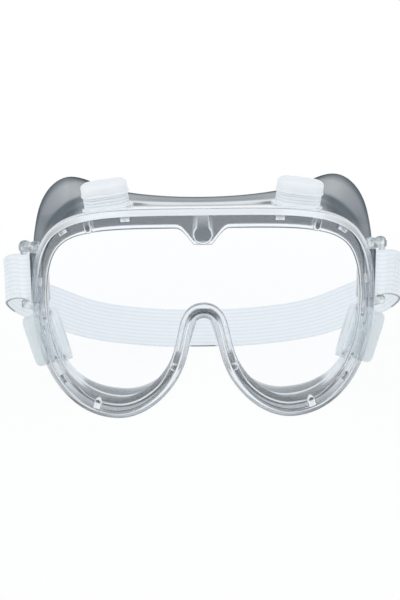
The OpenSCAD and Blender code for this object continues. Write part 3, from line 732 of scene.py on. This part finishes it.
# Local frame on the rim at u: x along the rim, y into the depth, z outwards
def on_rim(u):
    p = rim_at(u)
    n = rim_out(u)
    m = Matrix.Translation((p.x, wrapped(p.x, 0), p.y)) @ Matrix.Rotation(math.asin(p.x / WRAP_R), 4, "Z")
    return m @ Matrix.Rotation(math.atan2(n.x, n.y), 4, "Y")


# Lens tabs: places round the rim, then painted shade and highlight tints of the tab and of its end that
# catches light
TABS = ((0.215, -0.9, -0.9), (0.525, -0.9, -0.9), (0.9, -0.35, -1.0), (1.155, 0.25, -0.7), (1.515, 1.0, 1.0))
TAB_END, TAB_PROUD, TAB_EDGE = 1.4, 0.1, 0.2
# Studs and brow key: a painted bright outer edge round a core with painted shade
BROW_BOSSES, LOW_BOSSES = (0.375,), (1.86, 2.875)
BOSS_ROOT = 0.7
CORE_IN, CORE_OUT = -0.7, 0.12
STUD_EDGE, CORE_EDGE = 0.25, 0.1
# Turns a plate's length outwards, its width along the rim and its thickness into the depth
PLATE_ON_RIM = Matrix(((0, 1, 0, 0), (0, 0, 1, 0), (1, 0, 0, 0), (0, 0, 0, 1)))
KEY_PLACE = Matrix.Translation((0, 0, RIM_H - KEY_DROP)) @ Matrix.Rotation(math.pi / 2, 4, "X")


# A boss is an oval stud; more widens it, for its core or for the room that the lens leaves it
def add_bosses(bm, places, more, front, edge):
    for u in places:
        tip = -keyed(BAND_KEYS, u) + BOSS_MARGIN
        middle = Matrix.Translation((0, 0, (tip - BOSS_ROOT) / 2))
        for _, turn in SIDES:
            add_slab(bm, -BOSS_ROOT - tip + 2 * more, BOSS_W + 2 * more, front, SEAT_FRONT + ROOT,
                     turn @ on_rim(u) @ middle @ PLATE_ON_RIM, (0, edge))


def add_key(bm, more, front, edge):
    def plate():
        ring = flat_ring(bm, KEY_R + more, KEY_STEPS)
        for v in ring:
            if v.co.y > 0 and abs(v.co.x) < KEY_NECK / 2 + more:
                v.co.y = KEY_DROP - BOSS_ROOT + min(more, 0)
            v.co.z = -front
        thicken(bm, ring, (0, 0, front - SEAT_FRONT - ROOT))
        if edge:
            round_edges(bm, edges_among(ring), edge, BOX_ROUND)

    add_moved(bm, KEY_PLACE, plate)


def add_studs(bm, more, front, edge):
    add_bosses(bm, BROW_BOSSES + LOW_BOSSES, more, front, edge)
    add_key(bm, more, front, edge)


# Vents: places as (round the rim, along the wall, length), and sizes shared with the solids
VENT_PLACES = {"top": (0.285, 0.23, 21.5), "side": (1.265, 0.3, 25.5)}
CAP_W, CAP_H, CAP_WALL, CAP_ROUND = 12.6, 5.6, 1.2, 2.2
COLLAR_INSET, COLLAR_H, AIR_GAP, COLLAR_LEDGE = 0.3, 5.6, 0.5, 1.5
NECK_WALL, RING_W, RING_T = 1.5, 2.8, 2.0
PEG_R, PEG_L, PEG_SHOULDER = 1.1, 3.0, 0.7
GRILLE_N, GRILLE_BAR = 5, 1.2
PAD_OUT, PAD_IN, PAD_MARGIN = 0.4, 2.1, 1.0
VENT_FIT = 0.15
COLLAR_W = CAP_W - 2 * COLLAR_INSET
SLOT_W = COLLAR_W - 2 * COLLAR_LEDGE
NECK_W = SLOT_W - 2 * VENT_FIT
PAD_T = WALL + PAD_OUT + PAD_IN
PEG_FOOT = PEG_R + PEG_SHOULDER
PASSAGE_W = NECK_W - 2 * NECK_WALL


def slot_length(cap_l):
    return cap_l - 2 * COLLAR_INSET - 2 * COLLAR_LEDGE


def on_vent(place_name):
    u, t, _ = VENT_PLACES[place_name]
    d = wall_dir(u, t)
    n = rim_out(u)
    m = Matrix.Translation(on_wall(u, wall_out(u, t))) @ Matrix.Rotation(math.atan2(n.x, n.y), 4, "Y")
    return m @ Matrix.Rotation(math.atan2(d.x, d.y), 4, "X") @ Matrix.Translation((0, 0, PAD_OUT))


# Buckles and hinges, sizes shared with the solids
BUCKLE_Z, HINGE_X, HINGE_D = 61.0, 80.0, 36.0
BAR_ARM, BAR_R, ARM_H, SLOT_ROOM = 6.6, 1.5, 3.8, 1.2
KNUCKLE_R, PIN_R, HEAD_R, HEAD_H = 2.8, 1.1, 2.3, 1.5
BUCKLE_ANGLE, HINGE_FIT, ARM_GAP = 25.0, 0.08, 0.3
EYE_WALL = 0.8
EYE_R = BAR_R + EYE_WALL
SLOT_H = STRAP_W + 2 * SLOT_ROOM
KNUCKLE_H = SLOT_H - 2 * ARM_GAP
# The web from the skirt to the knuckle: where it leaves the wall, how far in from the knuckle's side and ends
WEB_U, WEB_T = 0.93, 0.35
WEB_X = on_wall(WEB_U, wall_out(WEB_U, WEB_T)).x
WEB_INSET, WEB_SHORT, WEB_EDGE = 0.4, 0.3, 0.4
KNUCKLE_EDGE = 0.5
ON_HINGE = Matrix.Translation((HINGE_X, HINGE_D, BUCKLE_Z))
ON_BUCKLE = ON_HINGE @ Matrix.Rotation(math.radians(BUCKLE_ANGLE), 4, "Z")
# Lower ends of a buckle's two arms, measured along its hinge
ARM_LOWS = [s * (SLOT_H + ARM_H) / 2 - ARM_H / 2 for s in WAYS]
PAD_EDGES = (0.3, 0.5)


def vent_pads(bm):
    for place_name, (_, _, cap_l) in VENT_PLACES.items():
        for _, turn in SIDES:
            add_slab(bm, cap_l + 2 * PAD_MARGIN, CAP_W + 2 * PAD_MARGIN, -PAD_T, 0,
                     turn @ on_vent(place_name), PAD_EDGES)


# Room that the vent pads leave for the buckle arms to turn in
def arm_room(bm):
    for _, turn in SIDES:
        for low in ARM_LOWS:
            add_rod(bm, KNUCKLE_R + ARM_GAP, low - ARM_GAP, low + ARM_H + ARM_GAP, turn @ ON_HINGE)


def lens_tabs(bm, u, start, end):
    front = LENS_RECESS - SEAT_GAP - TAB_T
    for _, turn in SIDES:
        add_box(bm, (start, front, -LIP_W - TAB_REACH), (end, front + TAB_T, ROOT - LIP_W), turn @ on_rim(u),
                TAB_EDGE)


def hinge_webs(bm):
    near = WEB_X - WALL - ROOT - HINGE_X
    half = KNUCKLE_R - WEB_INSET
    half_h = KNUCKLE_H / 2 - WEB_SHORT
    for _, turn in SIDES:
        add_box(bm, (near, -half, -half_h), (0, half, half_h), turn @ ON_HINGE, WEB_EDGE)


def frame_knuckles(bm):
    for _, turn in SIDES:
        add_rod(bm, KNUCKLE_R, -KNUCKLE_H / 2, KNUCKLE_H / 2, turn @ ON_HINGE, KNUCKLE_EDGE)


def frame_cuts(bm):
    for _, turn in SIDES:
        for place_name, (_, _, cap_l) in VENT_PLACES.items():
            add_slab(bm, slot_length(cap_l), SLOT_W, -PAD_T - ROOT, ROOT, turn @ on_vent(place_name))
        add_rod(bm, PIN_R + HINGE_FIT, -SLOT_H, SLOT_H, turn @ ON_HINGE)


# Tints of the forms on the moulding: painted highlight below 0, painted shade above 0
STUD_TINT, BROW_CORE_TINT, KEY_CORE_TINT, LOW_CORE_TINT = -0.9, 1.7, 0.82, 0.3
PAD_TINT, HINGE_TINT = -0.7, 0.9


def make_frame():
    sections = [frame_section(u) for u in RIM_PLACES]
    rings = [[on_wall(u, q) for q in rounded(section)] for u, section in zip(RIM_PLACES, sections)]
    rings += [[MIRROR_X @ p for p in ring] for ring in rings[-2:0:-1]]
    tints = [section_tints(section) for section in sections]
    piece = to_object(skin(rings, True, tints + tints[-2:0:-1]), "goggle_frame")
    far = TAB_W / 2
    for u, tint, end_tint in TABS:
        join(piece, lens_tabs, u, -far, far, tint=tint)
        join(piece, lens_tabs, u, far - TAB_END, far + TAB_PROUD, tint=end_tint)
    core = (CORE_IN, LIP_BEVEL, CORE_EDGE)
    join(piece, add_studs, 0.0, LIP_BEVEL + CORE_OUT, STUD_EDGE, tint=STUD_TINT)
    join(piece, add_bosses, BROW_BOSSES, *core, tint=BROW_CORE_TINT)
    join(piece, add_key, *core, tint=KEY_CORE_TINT)
    join(piece, add_bosses, LOW_BOSSES, *core, tint=LOW_CORE_TINT)
    join(piece, hinge_webs, tint=HINGE_TINT)
    pads = gathered("pads", vent_pads, tint=PAD_TINT)
    cut(pads, arm_room)
    combine(piece, pads, "UNION")
    join(piece, frame_knuckles, tint=HINGE_TINT)
    cut(piece, frame_cuts)
    see_through(place(piece, PVC, "goggles", "frame"))


# The lens: a wrapped sheet cut to the outline of the seat, with notches for the studs and the brow key
STRIP = 2.0


def lens_sheet(bm):
    across = int(RIM_W / STRIP)
    upright = int(RIM_H / STRIP)
    bmesh.ops.create_grid(bm, x_segments=across, y_segments=upright, size=0.5)
    for v in bm.verts:
        x = v.co.x * RIM_W
        z = v.co.y * RIM_H + RIM_H / 2
        v.co = Vector((x, wrapped(x, LENS_RECESS), z))
    bmesh.ops.recalc_face_normals(bm, faces=bm.faces)
    if bm.faces[0].normal.y > 0:
        bmesh.ops.reverse_faces(bm, faces=bm.faces)
    bmesh.ops.solidify(bm, geom=bm.faces[:], thickness=LENS_T)


def lens_outline(bm):
    edge = [rim_point(u, -LIP_W - LENS_GAP) for u in RIM_PLACES]
    edge += [Vector((-p.x, p.y)) for p in edge[-2:0:-1]]
    ring = flat_ring(bm, 1, len(edge))
    for v, p in zip(ring, edge):
        v.co = Vector((p.x, -RIM_DEPTH, p.y))
    thicken(bm, ring, (0, RIM_W / 2, 0))


def make_lens():
    piece = gathered("lens_sheet", lens_sheet)
    combine(piece, gathered("outline", lens_outline), "INTERSECT")
    cut(piece, add_studs, LENS_GAP, -LENS_GAP, 0.0)
    see_through(place(piece, LENS_PC, "goggles", "lens"))


# Shallow grooves all round each collar, and the cover's rolled lower edge, which hangs into the air gap
LOUVRE_N, LOUVRE_T, LOUVRE_DEPTH = 3, 0.5, 0.45
CAP_DROP, ROLL_OUT, ROLL_H = 0.42, 0.3, 0.6
COLLAR_EDGES, NECK_EDGES, RING_EDGES = (0.5, 0.2), (0, 0.4), (0.2, 0.7)
COVER_EDGES, ROLL_EDGES, INSIDE_EDGES = (CAP_ROUND, 0.2), (0.28, 0.15), (1.0, 0)
GRILLE_EDGE, PEG_EDGE = 0.2, 0.3


def louvre(collar_l, matrix, k):
    z = COLLAR_H * (k + 1) / (LOUVRE_N + 1)
    ring = gathered("louvre", add_slab, collar_l + ROOT, COLLAR_W + ROOT, z, z + LOUVRE_T, matrix)
    cut(ring, add_slab, collar_l - 2 * LOUVRE_DEPTH, COLLAR_W - 2 * LOUVRE_DEPTH, z - ROOT,
        z + LOUVRE_T + ROOT, matrix)
    return ring


def make_vent(place_name, side, turn):
    cap_l = VENT_PLACES[place_name][2]
    collar_l = cap_l - 2 * COLLAR_INSET
    slot_l = slot_length(cap_l)
    neck_l = slot_l - 2 * VENT_FIT
    peg_x = (cap_l - CAP_W) / 2 + CAP_W / 4
    passage_l = 2 * (peg_x - PEG_FOOT - VENT_FIT)
    ring_low = -PAD_T - RING_T
    matrix = turn @ on_vent(place_name)
    lifted = matrix @ Matrix.Translation((0, 0, COLLAR_H + AIR_GAP))
    white = VENT_WHITE[place_name]
    tail = place_name + "_" + side

    def at_pegs(bm, base, radius, z0, z1, edge=0.0):
        for s in WAYS:
            add_rod(bm, radius, z0, z1, base @ Matrix.Translation((s * peg_x, 0, 0)), edge)

    def hollows(bm):
        add_slab(bm, passage_l, PASSAGE_W, ring_low - ROOT, COLLAR_H + ROOT, matrix)
        at_pegs(bm, matrix, PEG_R + VENT_FIT, COLLAR_H - PEG_L - 2 * VENT_FIT, COLLAR_H + ROOT)

    def grille(bm):
        for k in range(GRILLE_N):
            x = ((k + 1) / (GRILLE_N + 1) - 0.5) * passage_l
            add_box(bm, (x - GRILLE_BAR / 2, -NECK_W / 2, COLLAR_H - 2 * GRILLE_BAR),
                    (x + GRILLE_BAR / 2, NECK_W / 2, COLLAR_H - GRILLE_BAR / 2), matrix, GRILLE_EDGE)

    body = gathered("vent_seat_" + tail, add_slab, collar_l, COLLAR_W, 0, COLLAR_H, matrix, COLLAR_EDGES)
    for k in range(LOUVRE_N):
        combine(body, louvre(collar_l, matrix, k), "DIFFERENCE")
    join(body, add_slab, neck_l, NECK_W, ring_low, ROOT, matrix, NECK_EDGES)
    cut(body, hollows)
    join(body, grille)
    place(body, white, "goggles", "vent_body_" + tail)

    ring = gathered("vent_lock_ring_" + tail, add_slab, neck_l + 2 * RING_W, NECK_W + 2 * RING_W, ring_low,
                    -PAD_T, matrix, RING_EDGES)
    cut(ring, add_slab, slot_l, SLOT_W, ring_low - ROOT, ROOT - PAD_T, matrix)
    place(ring, white, "goggles", "vent_ring_" + tail)

    cap = gathered("vent_cover_" + tail, add_slab, cap_l, CAP_W, -CAP_DROP, CAP_H, lifted, COVER_EDGES,
                   COVER_ROUND)
    join(cap, add_slab, cap_l + 2 * ROLL_OUT, CAP_W + 2 * ROLL_OUT, -CAP_DROP, ROLL_H, lifted, ROLL_EDGES)
    cut(cap, add_slab, cap_l - 2 * CAP_WALL, CAP_W - 2 * CAP_WALL, -ROOT,
        CAP_H - CAP_WALL - CAP_ROUND / 2, lifted, INSIDE_EDGES)
    join(cap, at_pegs, lifted, PEG_FOOT, -AIR_GAP, CAP_H - CAP_WALL)
    join(cap, at_pegs, lifted, PEG_R, -AIR_GAP - PEG_L, ROOT, PEG_EDGE)
    place(cap, white, "cap_" + tail, "vent_cap_" + tail)


# A buckle: two arms from the hinge to the strap bar, their ends rounded, the upper one crowned
ARM_EDGE = 0.9
BORE_FIT = 0.03
CROWN_X, CROWN_L, CROWN_R, CROWN_H, CROWN_SINK = 5.4, 3.3, 2.1, 1.6, 0.7


def add_arm(bm, z0, z1):
    ring = flat_ring(bm, 1, ARM_STEPS)
    lean = (KNUCKLE_R - EYE_R) / BAR_ARM
    for v in ring:
        far = v.co.x > lean
        v.co = Vector((BAR_ARM, 0, z0)) + EYE_R * v.co if far else Vector((0, 0, z0)) + KNUCKLE_R * v.co
    top = thicken(bm, ring, (0, 0, z1 - z0))
    for verts in (top, ring):
        round_edges(bm, edges_among(verts), ARM_EDGE, ARM_ROUND)


def add_crown(bm, matrix):
    low = SLOT_H / 2 + ARM_H - CROWN_SINK
    size = Matrix.Diagonal((CROWN_L, CROWN_R, CROWN_H + CROWN_SINK, 1))
    bmesh.ops.create_uvsphere(bm, u_segments=ARM_STEPS, v_segments=ARM_STEPS // 2, radius=1,
                              matrix=matrix @ Matrix.Translation((CROWN_X, 0, low)) @ size)


def make_buckle(side, turn):
    matrix = turn @ ON_BUCKLE
    bar = matrix @ Matrix.Translation((BAR_ARM, 0, 0))
    half = SLOT_H / 2 + ARM_H / 2

    def arms(bm):
        for low in ARM_LOWS:
            add_moved(bm, matrix, lambda: add_arm(bm, low, low + ARM_H))

    piece = gathered("strap_buckle_" + side, arms)
    join(piece, add_rod, BAR_R, -half, half, bar)
    join(piece, add_crown, matrix)
    cut(piece, add_rod, PIN_R + BORE_FIT, -2 * SLOT_H, 2 * SLOT_H, matrix)
    see_through(place(piece, BUCKLE_PC, "buckle_" + side, "buckle_" + side))


# Hinge pin with a domed head, turned from its profile
PIN_CHAMFER, HEAD_IN, HEAD_UP, HEAD_RIM, DOME_STEPS = 0.3, 0.1, 0.15, 0.6, 6


def make_pin(side, turn):
    low = -SLOT_H / 2 - ARM_H
    top = SLOT_H / 2 + ARM_H
    profile = [(0, low), (PIN_R - PIN_CHAMFER, low), (PIN_R, low + PIN_CHAMFER), (PIN_R, top),
               (HEAD_R - HEAD_IN, top), (HEAD_R, top + HEAD_UP), (HEAD_R, top + HEAD_RIM)]
    for k in range(DOME_STEPS):
        a = math.pi / 2 * (k + 1) / DOME_STEPS
        profile.append((HEAD_R * math.cos(a), top + HEAD_RIM + (HEAD_H - HEAD_RIM) * math.sin(a)))
    bm = bmesh.new()
    points = [bm.verts.new((r, 0, z)) for r, z in profile]
    edges = [bm.edges.new(pair) for pair in zip(points, points[1:])]
    bmesh.ops.spin(bm, geom=points + edges, cent=(0, 0, 0), axis=(0, 0, 1), angle=2 * math.pi,
                   steps=ROD_STEPS, use_merge=True)
    bmesh.ops.remove_doubles(bm, verts=bm.verts, dist=MERGE)
    bmesh.ops.transform(bm, matrix=turn @ ON_BUCKLE, verts=bm.verts)
    piece = to_object(bm, "hinge_pin_turned_" + side)
    see_through(place(piece, BUCKLE_PC, "buckle_" + side, "hinge_pin_" + side))


# Strap: its tail, round the bar, out in a loose bulge, then down to stand on its edge behind. Each knot of
# its route has its distance out from the hinge, its share of the way to the back, and its lift.
LOOP_GAP, SEWN_GAP, TAIL_L, LEAD_IN = 0.3, 0.25, 20.0, 15.0
LOOP_R = BAR_R + LOOP_GAP + STRAP_T / 2
ROUTE = ((16, 0.22, 45.5), (21, 0.46, 38), (17, 0.70, 27.5), (3, 0.86, 17), (-20, 0.955, 6.4),
         (-50, 0.993, 1.2))
BAR_AT = Vector((HINGE_X + BAR_ARM * math.cos(math.radians(BUCKLE_ANGLE)),
                 HINGE_D + BAR_ARM * math.sin(math.radians(BUCKLE_ANGLE))))
KNOTS = [Vector((HINGE_X + dx, HINGE_D + share * (STRAP_BACK - HINGE_D), STRAP_W / 2 + lift))
         for dx, share, lift in ROUTE]
STRAP_DIR = (KNOTS[0].xy - BAR_AT).normalized()
STRAP_SIDE = Vector((STRAP_DIR.y, -STRAP_DIR.x))


def by_bar(along, across):
    p = BAR_AT + along * STRAP_DIR + across * STRAP_SIDE
    return Vector((p.x, p.y, BUCKLE_Z))


RIGHT_KNOTS = [by_bar(-LEAD_IN, LOOP_R), by_bar(0, LOOP_R)] + KNOTS
STRAP_KNOTS = RIGHT_KNOTS + [Vector((0, STRAP_BACK, STRAP_W / 2))]
STRAP_KNOTS += [MIRROR_X @ p for p in reversed(RIGHT_KNOTS)]
LOOK_AHEAD = 0.02


# Smooth path through the knots, v counting them from the bar
def band_at(v):
    i = min(int(v), len(STRAP_KNOTS) - 4)
    t = v - i
    p = STRAP_KNOTS[i:i + 4]
    return 0.5 * (2 * p[1] + t * (p[2] - p[0]) + t * t * (2 * p[0] - 5 * p[1] + 4 * p[2] - p[3])
                  + t ** 3 * (3 * p[1] - p[0] - 3 * p[2] + p[3]))


def band_side(v):
    d = band_at(v + LOOK_AHEAD) - band_at(v)
    return Vector((d.y, -d.x, 0)).normalized()


TAIL_V = TAIL_L / (KNOTS[0] - by_bar(0, LOOP_R)).length


# The tail comes back from the bar inside the band and closes on it to be sewn
def tail_at(v):
    close = STRAP_T + SEWN_GAP
    return band_at(v) - (2 * LOOP_R - (2 * LOOP_R - close) * ease(2 * v)) * band_side(v)


TAIL_STEPS, LOOP_STEPS, BAND_STEPS = 24, 18, 24
MIDDLE_V = len(ROUTE) + 1
RIB_STEPS, RIB_DEPTH = 8, 0.04
SELVEDGE_STEPS = 6
# Where the lower edge lies in shade: on each side's run from the bar, and on each half of the middle
SHADED_RUN, SHADED_MIDDLE, SIDE_SHADE = 60.0, 7.0, 0.75


# Outline of the band's section as (across its thickness, along its width): ribbed faces, round selvedges
def strap_section():
    half = STRAP_W / 2 - SELVEDGE
    face = []
    for k in range(RIB_COUNT * RIB_STEPS + 1):
        b = -half + 2 * half * k / (RIB_COUNT * RIB_STEPS)
        groove = 0.5 + 0.5 * math.cos(2 * math.pi * k / RIB_STEPS)
        face.append((STRAP_T / 2 - RIB_DEPTH * groove ** 2, b))
    r = face[0][0]
    turn = [(r * math.cos(a), half + r * math.sin(a))
            for a in (math.pi * k / SELVEDGE_STEPS for k in range(1, SELVEDGE_STEPS))]
    back = [(-a, b) for a, b in reversed(face)]
    return face + turn + back + [(-a, -b) for a, b in turn]


def strap_path():
    tail = [tail_at(TAIL_V * (1 - i / TAIL_STEPS)) for i in range(TAIL_STEPS)]
    loop = [by_bar(-LOOP_R * math.sin(a), -LOOP_R * math.cos(a))
            for a in (math.pi * i / LOOP_STEPS for i in range(LOOP_STEPS))]
    band = [band_at(i / BAND_STEPS) for i in range(MIDDLE_V * BAND_STEPS + 1)]
    return tail + loop + band


# Rows of lock stitches that sew the tail down: distances from the bar, then the size of a stitch
STITCH_ROWS = (10.5, 12.5, 16.5, 18.5)
STITCH_N, STITCH_L, STITCH_W, STITCH_H, STITCH_EDGE = 9, 1.5, 0.45, 0.22, 0.1


def add_stitches(bm, at, d, up, across):
    matrix = Matrix.Translation(at) @ Matrix((d, up, across)).transposed().to_4x4()
    pitch = STRAP_W / (STITCH_N + 1)
    for k in range(STITCH_N):
        b = (k + 1) * pitch - STRAP_W / 2
        for face in (STRAP_T / 2, -1.5 * STRAP_T - SEWN_GAP):
            low = (-STITCH_W / 2, b - STITCH_L / 2, face - STITCH_H)
            high = (STITCH_W / 2, b + STITCH_L / 2, face + STITCH_H)
            add_box(bm, low, high, matrix, STITCH_EDGE)


# Tint of each point of each ring: the shaded lower edge near the bar, its inner half at the middle, else none
def strap_shades(section, run, bar):
    low_b = SELVEDGE - STRAP_W / 2
    low_edge = [SIDE_SHADE if b < low_b else 0.0 for a, b in section]
    inner_edge = [1.0 if b < low_b + MERGE and a < MERGE else 0.0 for a, b in section]
    plain = [0.0] * len(section)
    shades = []
    for far in run:
        by_side = -LOOP_R < far - run[bar] < SHADED_RUN
        in_middle = run[-1] - far < SHADED_MIDDLE
        shades.append(low_edge if by_side else inner_edge if in_middle else plain)
    return shades


def make_strap(side, turn):
    path = strap_path()
    section = strap_section()
    rings, run, ways = [], [0.0], []
    for i, p in enumerate(path):
        ahead = path[min(i + 1, len(path) - 1)]
        behind = path[max(i - 1, 0)]
        d = (ahead - behind).normalized()
        if i == len(path) - 1:
            d = Vector((-1, 0, 0))
        up = (Vector((0, 0, 1)) - d.z * d).normalized()
        across = d.cross(up)
        rings.append([p + a * across + b * up for a, b in section])
        ways.append((p, d, up, across))
        if i:
            run.append(run[-1] + (p - path[i - 1]).length)
    bar = TAIL_STEPS + LOOP_STEPS
    bm = skin(rings, False, strap_shades(section, run, bar))
    uv = bm.loops.layers.uv["along"]
    for face in bm.faces:
        for loop in face.loops:
            i = round(loop[uv].uv.x * (len(rings) - 1))
            j = round(loop[uv].uv.y * len(section)) % len(section)
            loop[uv].uv = (run[i] * MM, section[j][1] * MM)
    for far in STITCH_ROWS:
        i = next(k for k in range(bar, len(run)) if run[k] - run[bar] >= far)
        add_stitches(bm, *ways[i])
    bmesh.ops.transform(bm, matrix=turn, verts=bm.verts)
    piece = place(to_object(bm, "elastic_strap_" + side), ELASTIC, None, "strap")
    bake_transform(piece)


make_frame()
make_lens()
for side_name, side_turn in SIDES:
    for vent_name in VENT_PLACES:
        make_vent(vent_name, side_name, side_turn)
    for make_piece in (make_buckle, make_pin, make_strap):
        make_piece(side_name, side_turn)


# Plain pale stage and soft light. What the camera sees, directly, reflected or refracted, is white; the
# light on the object is plain and soft.
FLOOR_HALF = 3.0
SHADOW_REACH = 0.45
SHADOW_SHARE = 0.15


def seen_ray(tree):
    rays = add_node(tree, "LightPath").outputs
    seen = calculated(tree, "MAXIMUM", rays["Is Camera Ray"], rays["Is Glossy Ray"])
    return calculated(tree, "MAXIMUM", seen, rays["Is Transmission Ray"])


# Shows one shader to the camera and lights the object with the other
def show(tree, output, factor, lit, seen):
    mix = add_node(tree, "MixShader", {0: factor, 1: lit.outputs[0], 2: seen.outputs[0]})
    add_node(tree, "Output" + output, {"Surface": mix.outputs[0]})


# White paper, which fades to plain white away from the object and keeps its shadow near it
def paper():
    material, tree = new_material("paper_white")
    far = add_node(tree, "VectorMath", {0: object_spot(tree)}, operation="LENGTH").outputs["Value"]
    plain = mapped(tree, far, low=SHADOW_REACH / 3, high=SHADOW_REACH, to_low=1 - SHADOW_SHARE)
    matte = add_node(tree, "BsdfDiffuse", {"Color": colour("#f7f9fa")})
    white = add_node(tree, "Emission", {"Color": colour("#ffffff"), "Strength": 1.0})
    show(tree, "Material", calculated(tree, "MULTIPLY", seen_ray(tree), plain), matte, white)
    return material


def make_floor():
    bm = bmesh.new()
    bmesh.ops.create_grid(bm, x_segments=2, y_segments=2, size=FLOOR_HALF)
    floor = to_object(bm, "floor")
    floor.data.materials.append(paper())


# White at and below eye level, a grey room above it, which clear edges pick up
ROOM_FROM, ROOM_TO = 0.16, 0.45
AMBIENT = 0.8


def make_world():
    world = bpy.data.worlds.new("studio")
    bpy.context.scene.world = world
    tree = empty_tree(world)
    way = add_node(tree, "TexCoord").outputs["Generated"]
    height = add_node(tree, "SeparateXYZ", {"Vector": way}).outputs["Z"]
    above = mapped(tree, height, low=ROOM_FROM, high=ROOM_TO)
    room = toned(tree, above, colour("#ffffff"), colour("#8d949b"))
    fill = add_node(tree, "Background", {"Color": colour("#f2f5f8"), "Strength": AMBIENT})
    white = add_node(tree, "Background", {"Color": room, "Strength": 1.0})
    show(tree, "World", seen_ray(tree), fill, white)


# Softboxes: name, place in metres, and watts
BOX_SIZE = 1.5
SOFTBOXES = (("key", (-0.6, -0.7, 0.9), 4.0), ("fill", (0.8, -0.6, 0.6), 2.0), ("back", (0.1, 0.8, 0.9), 2.0))


def add_softbox(name, location, watts):
    data = bpy.data.lights.new(name, "AREA")
    data.size = BOX_SIZE
    data.energy = watts
    lamp = new_object(name, data)
    lamp.location = location
    lamp.rotation_euler = Vector(location).to_track_quat("Z", "Y").to_euler()


make_floor()
make_world()
for softbox in SOFTBOXES:
    add_softbox(*softbox)
bpy.context.scene.view_settings.view_transform = "Standard"
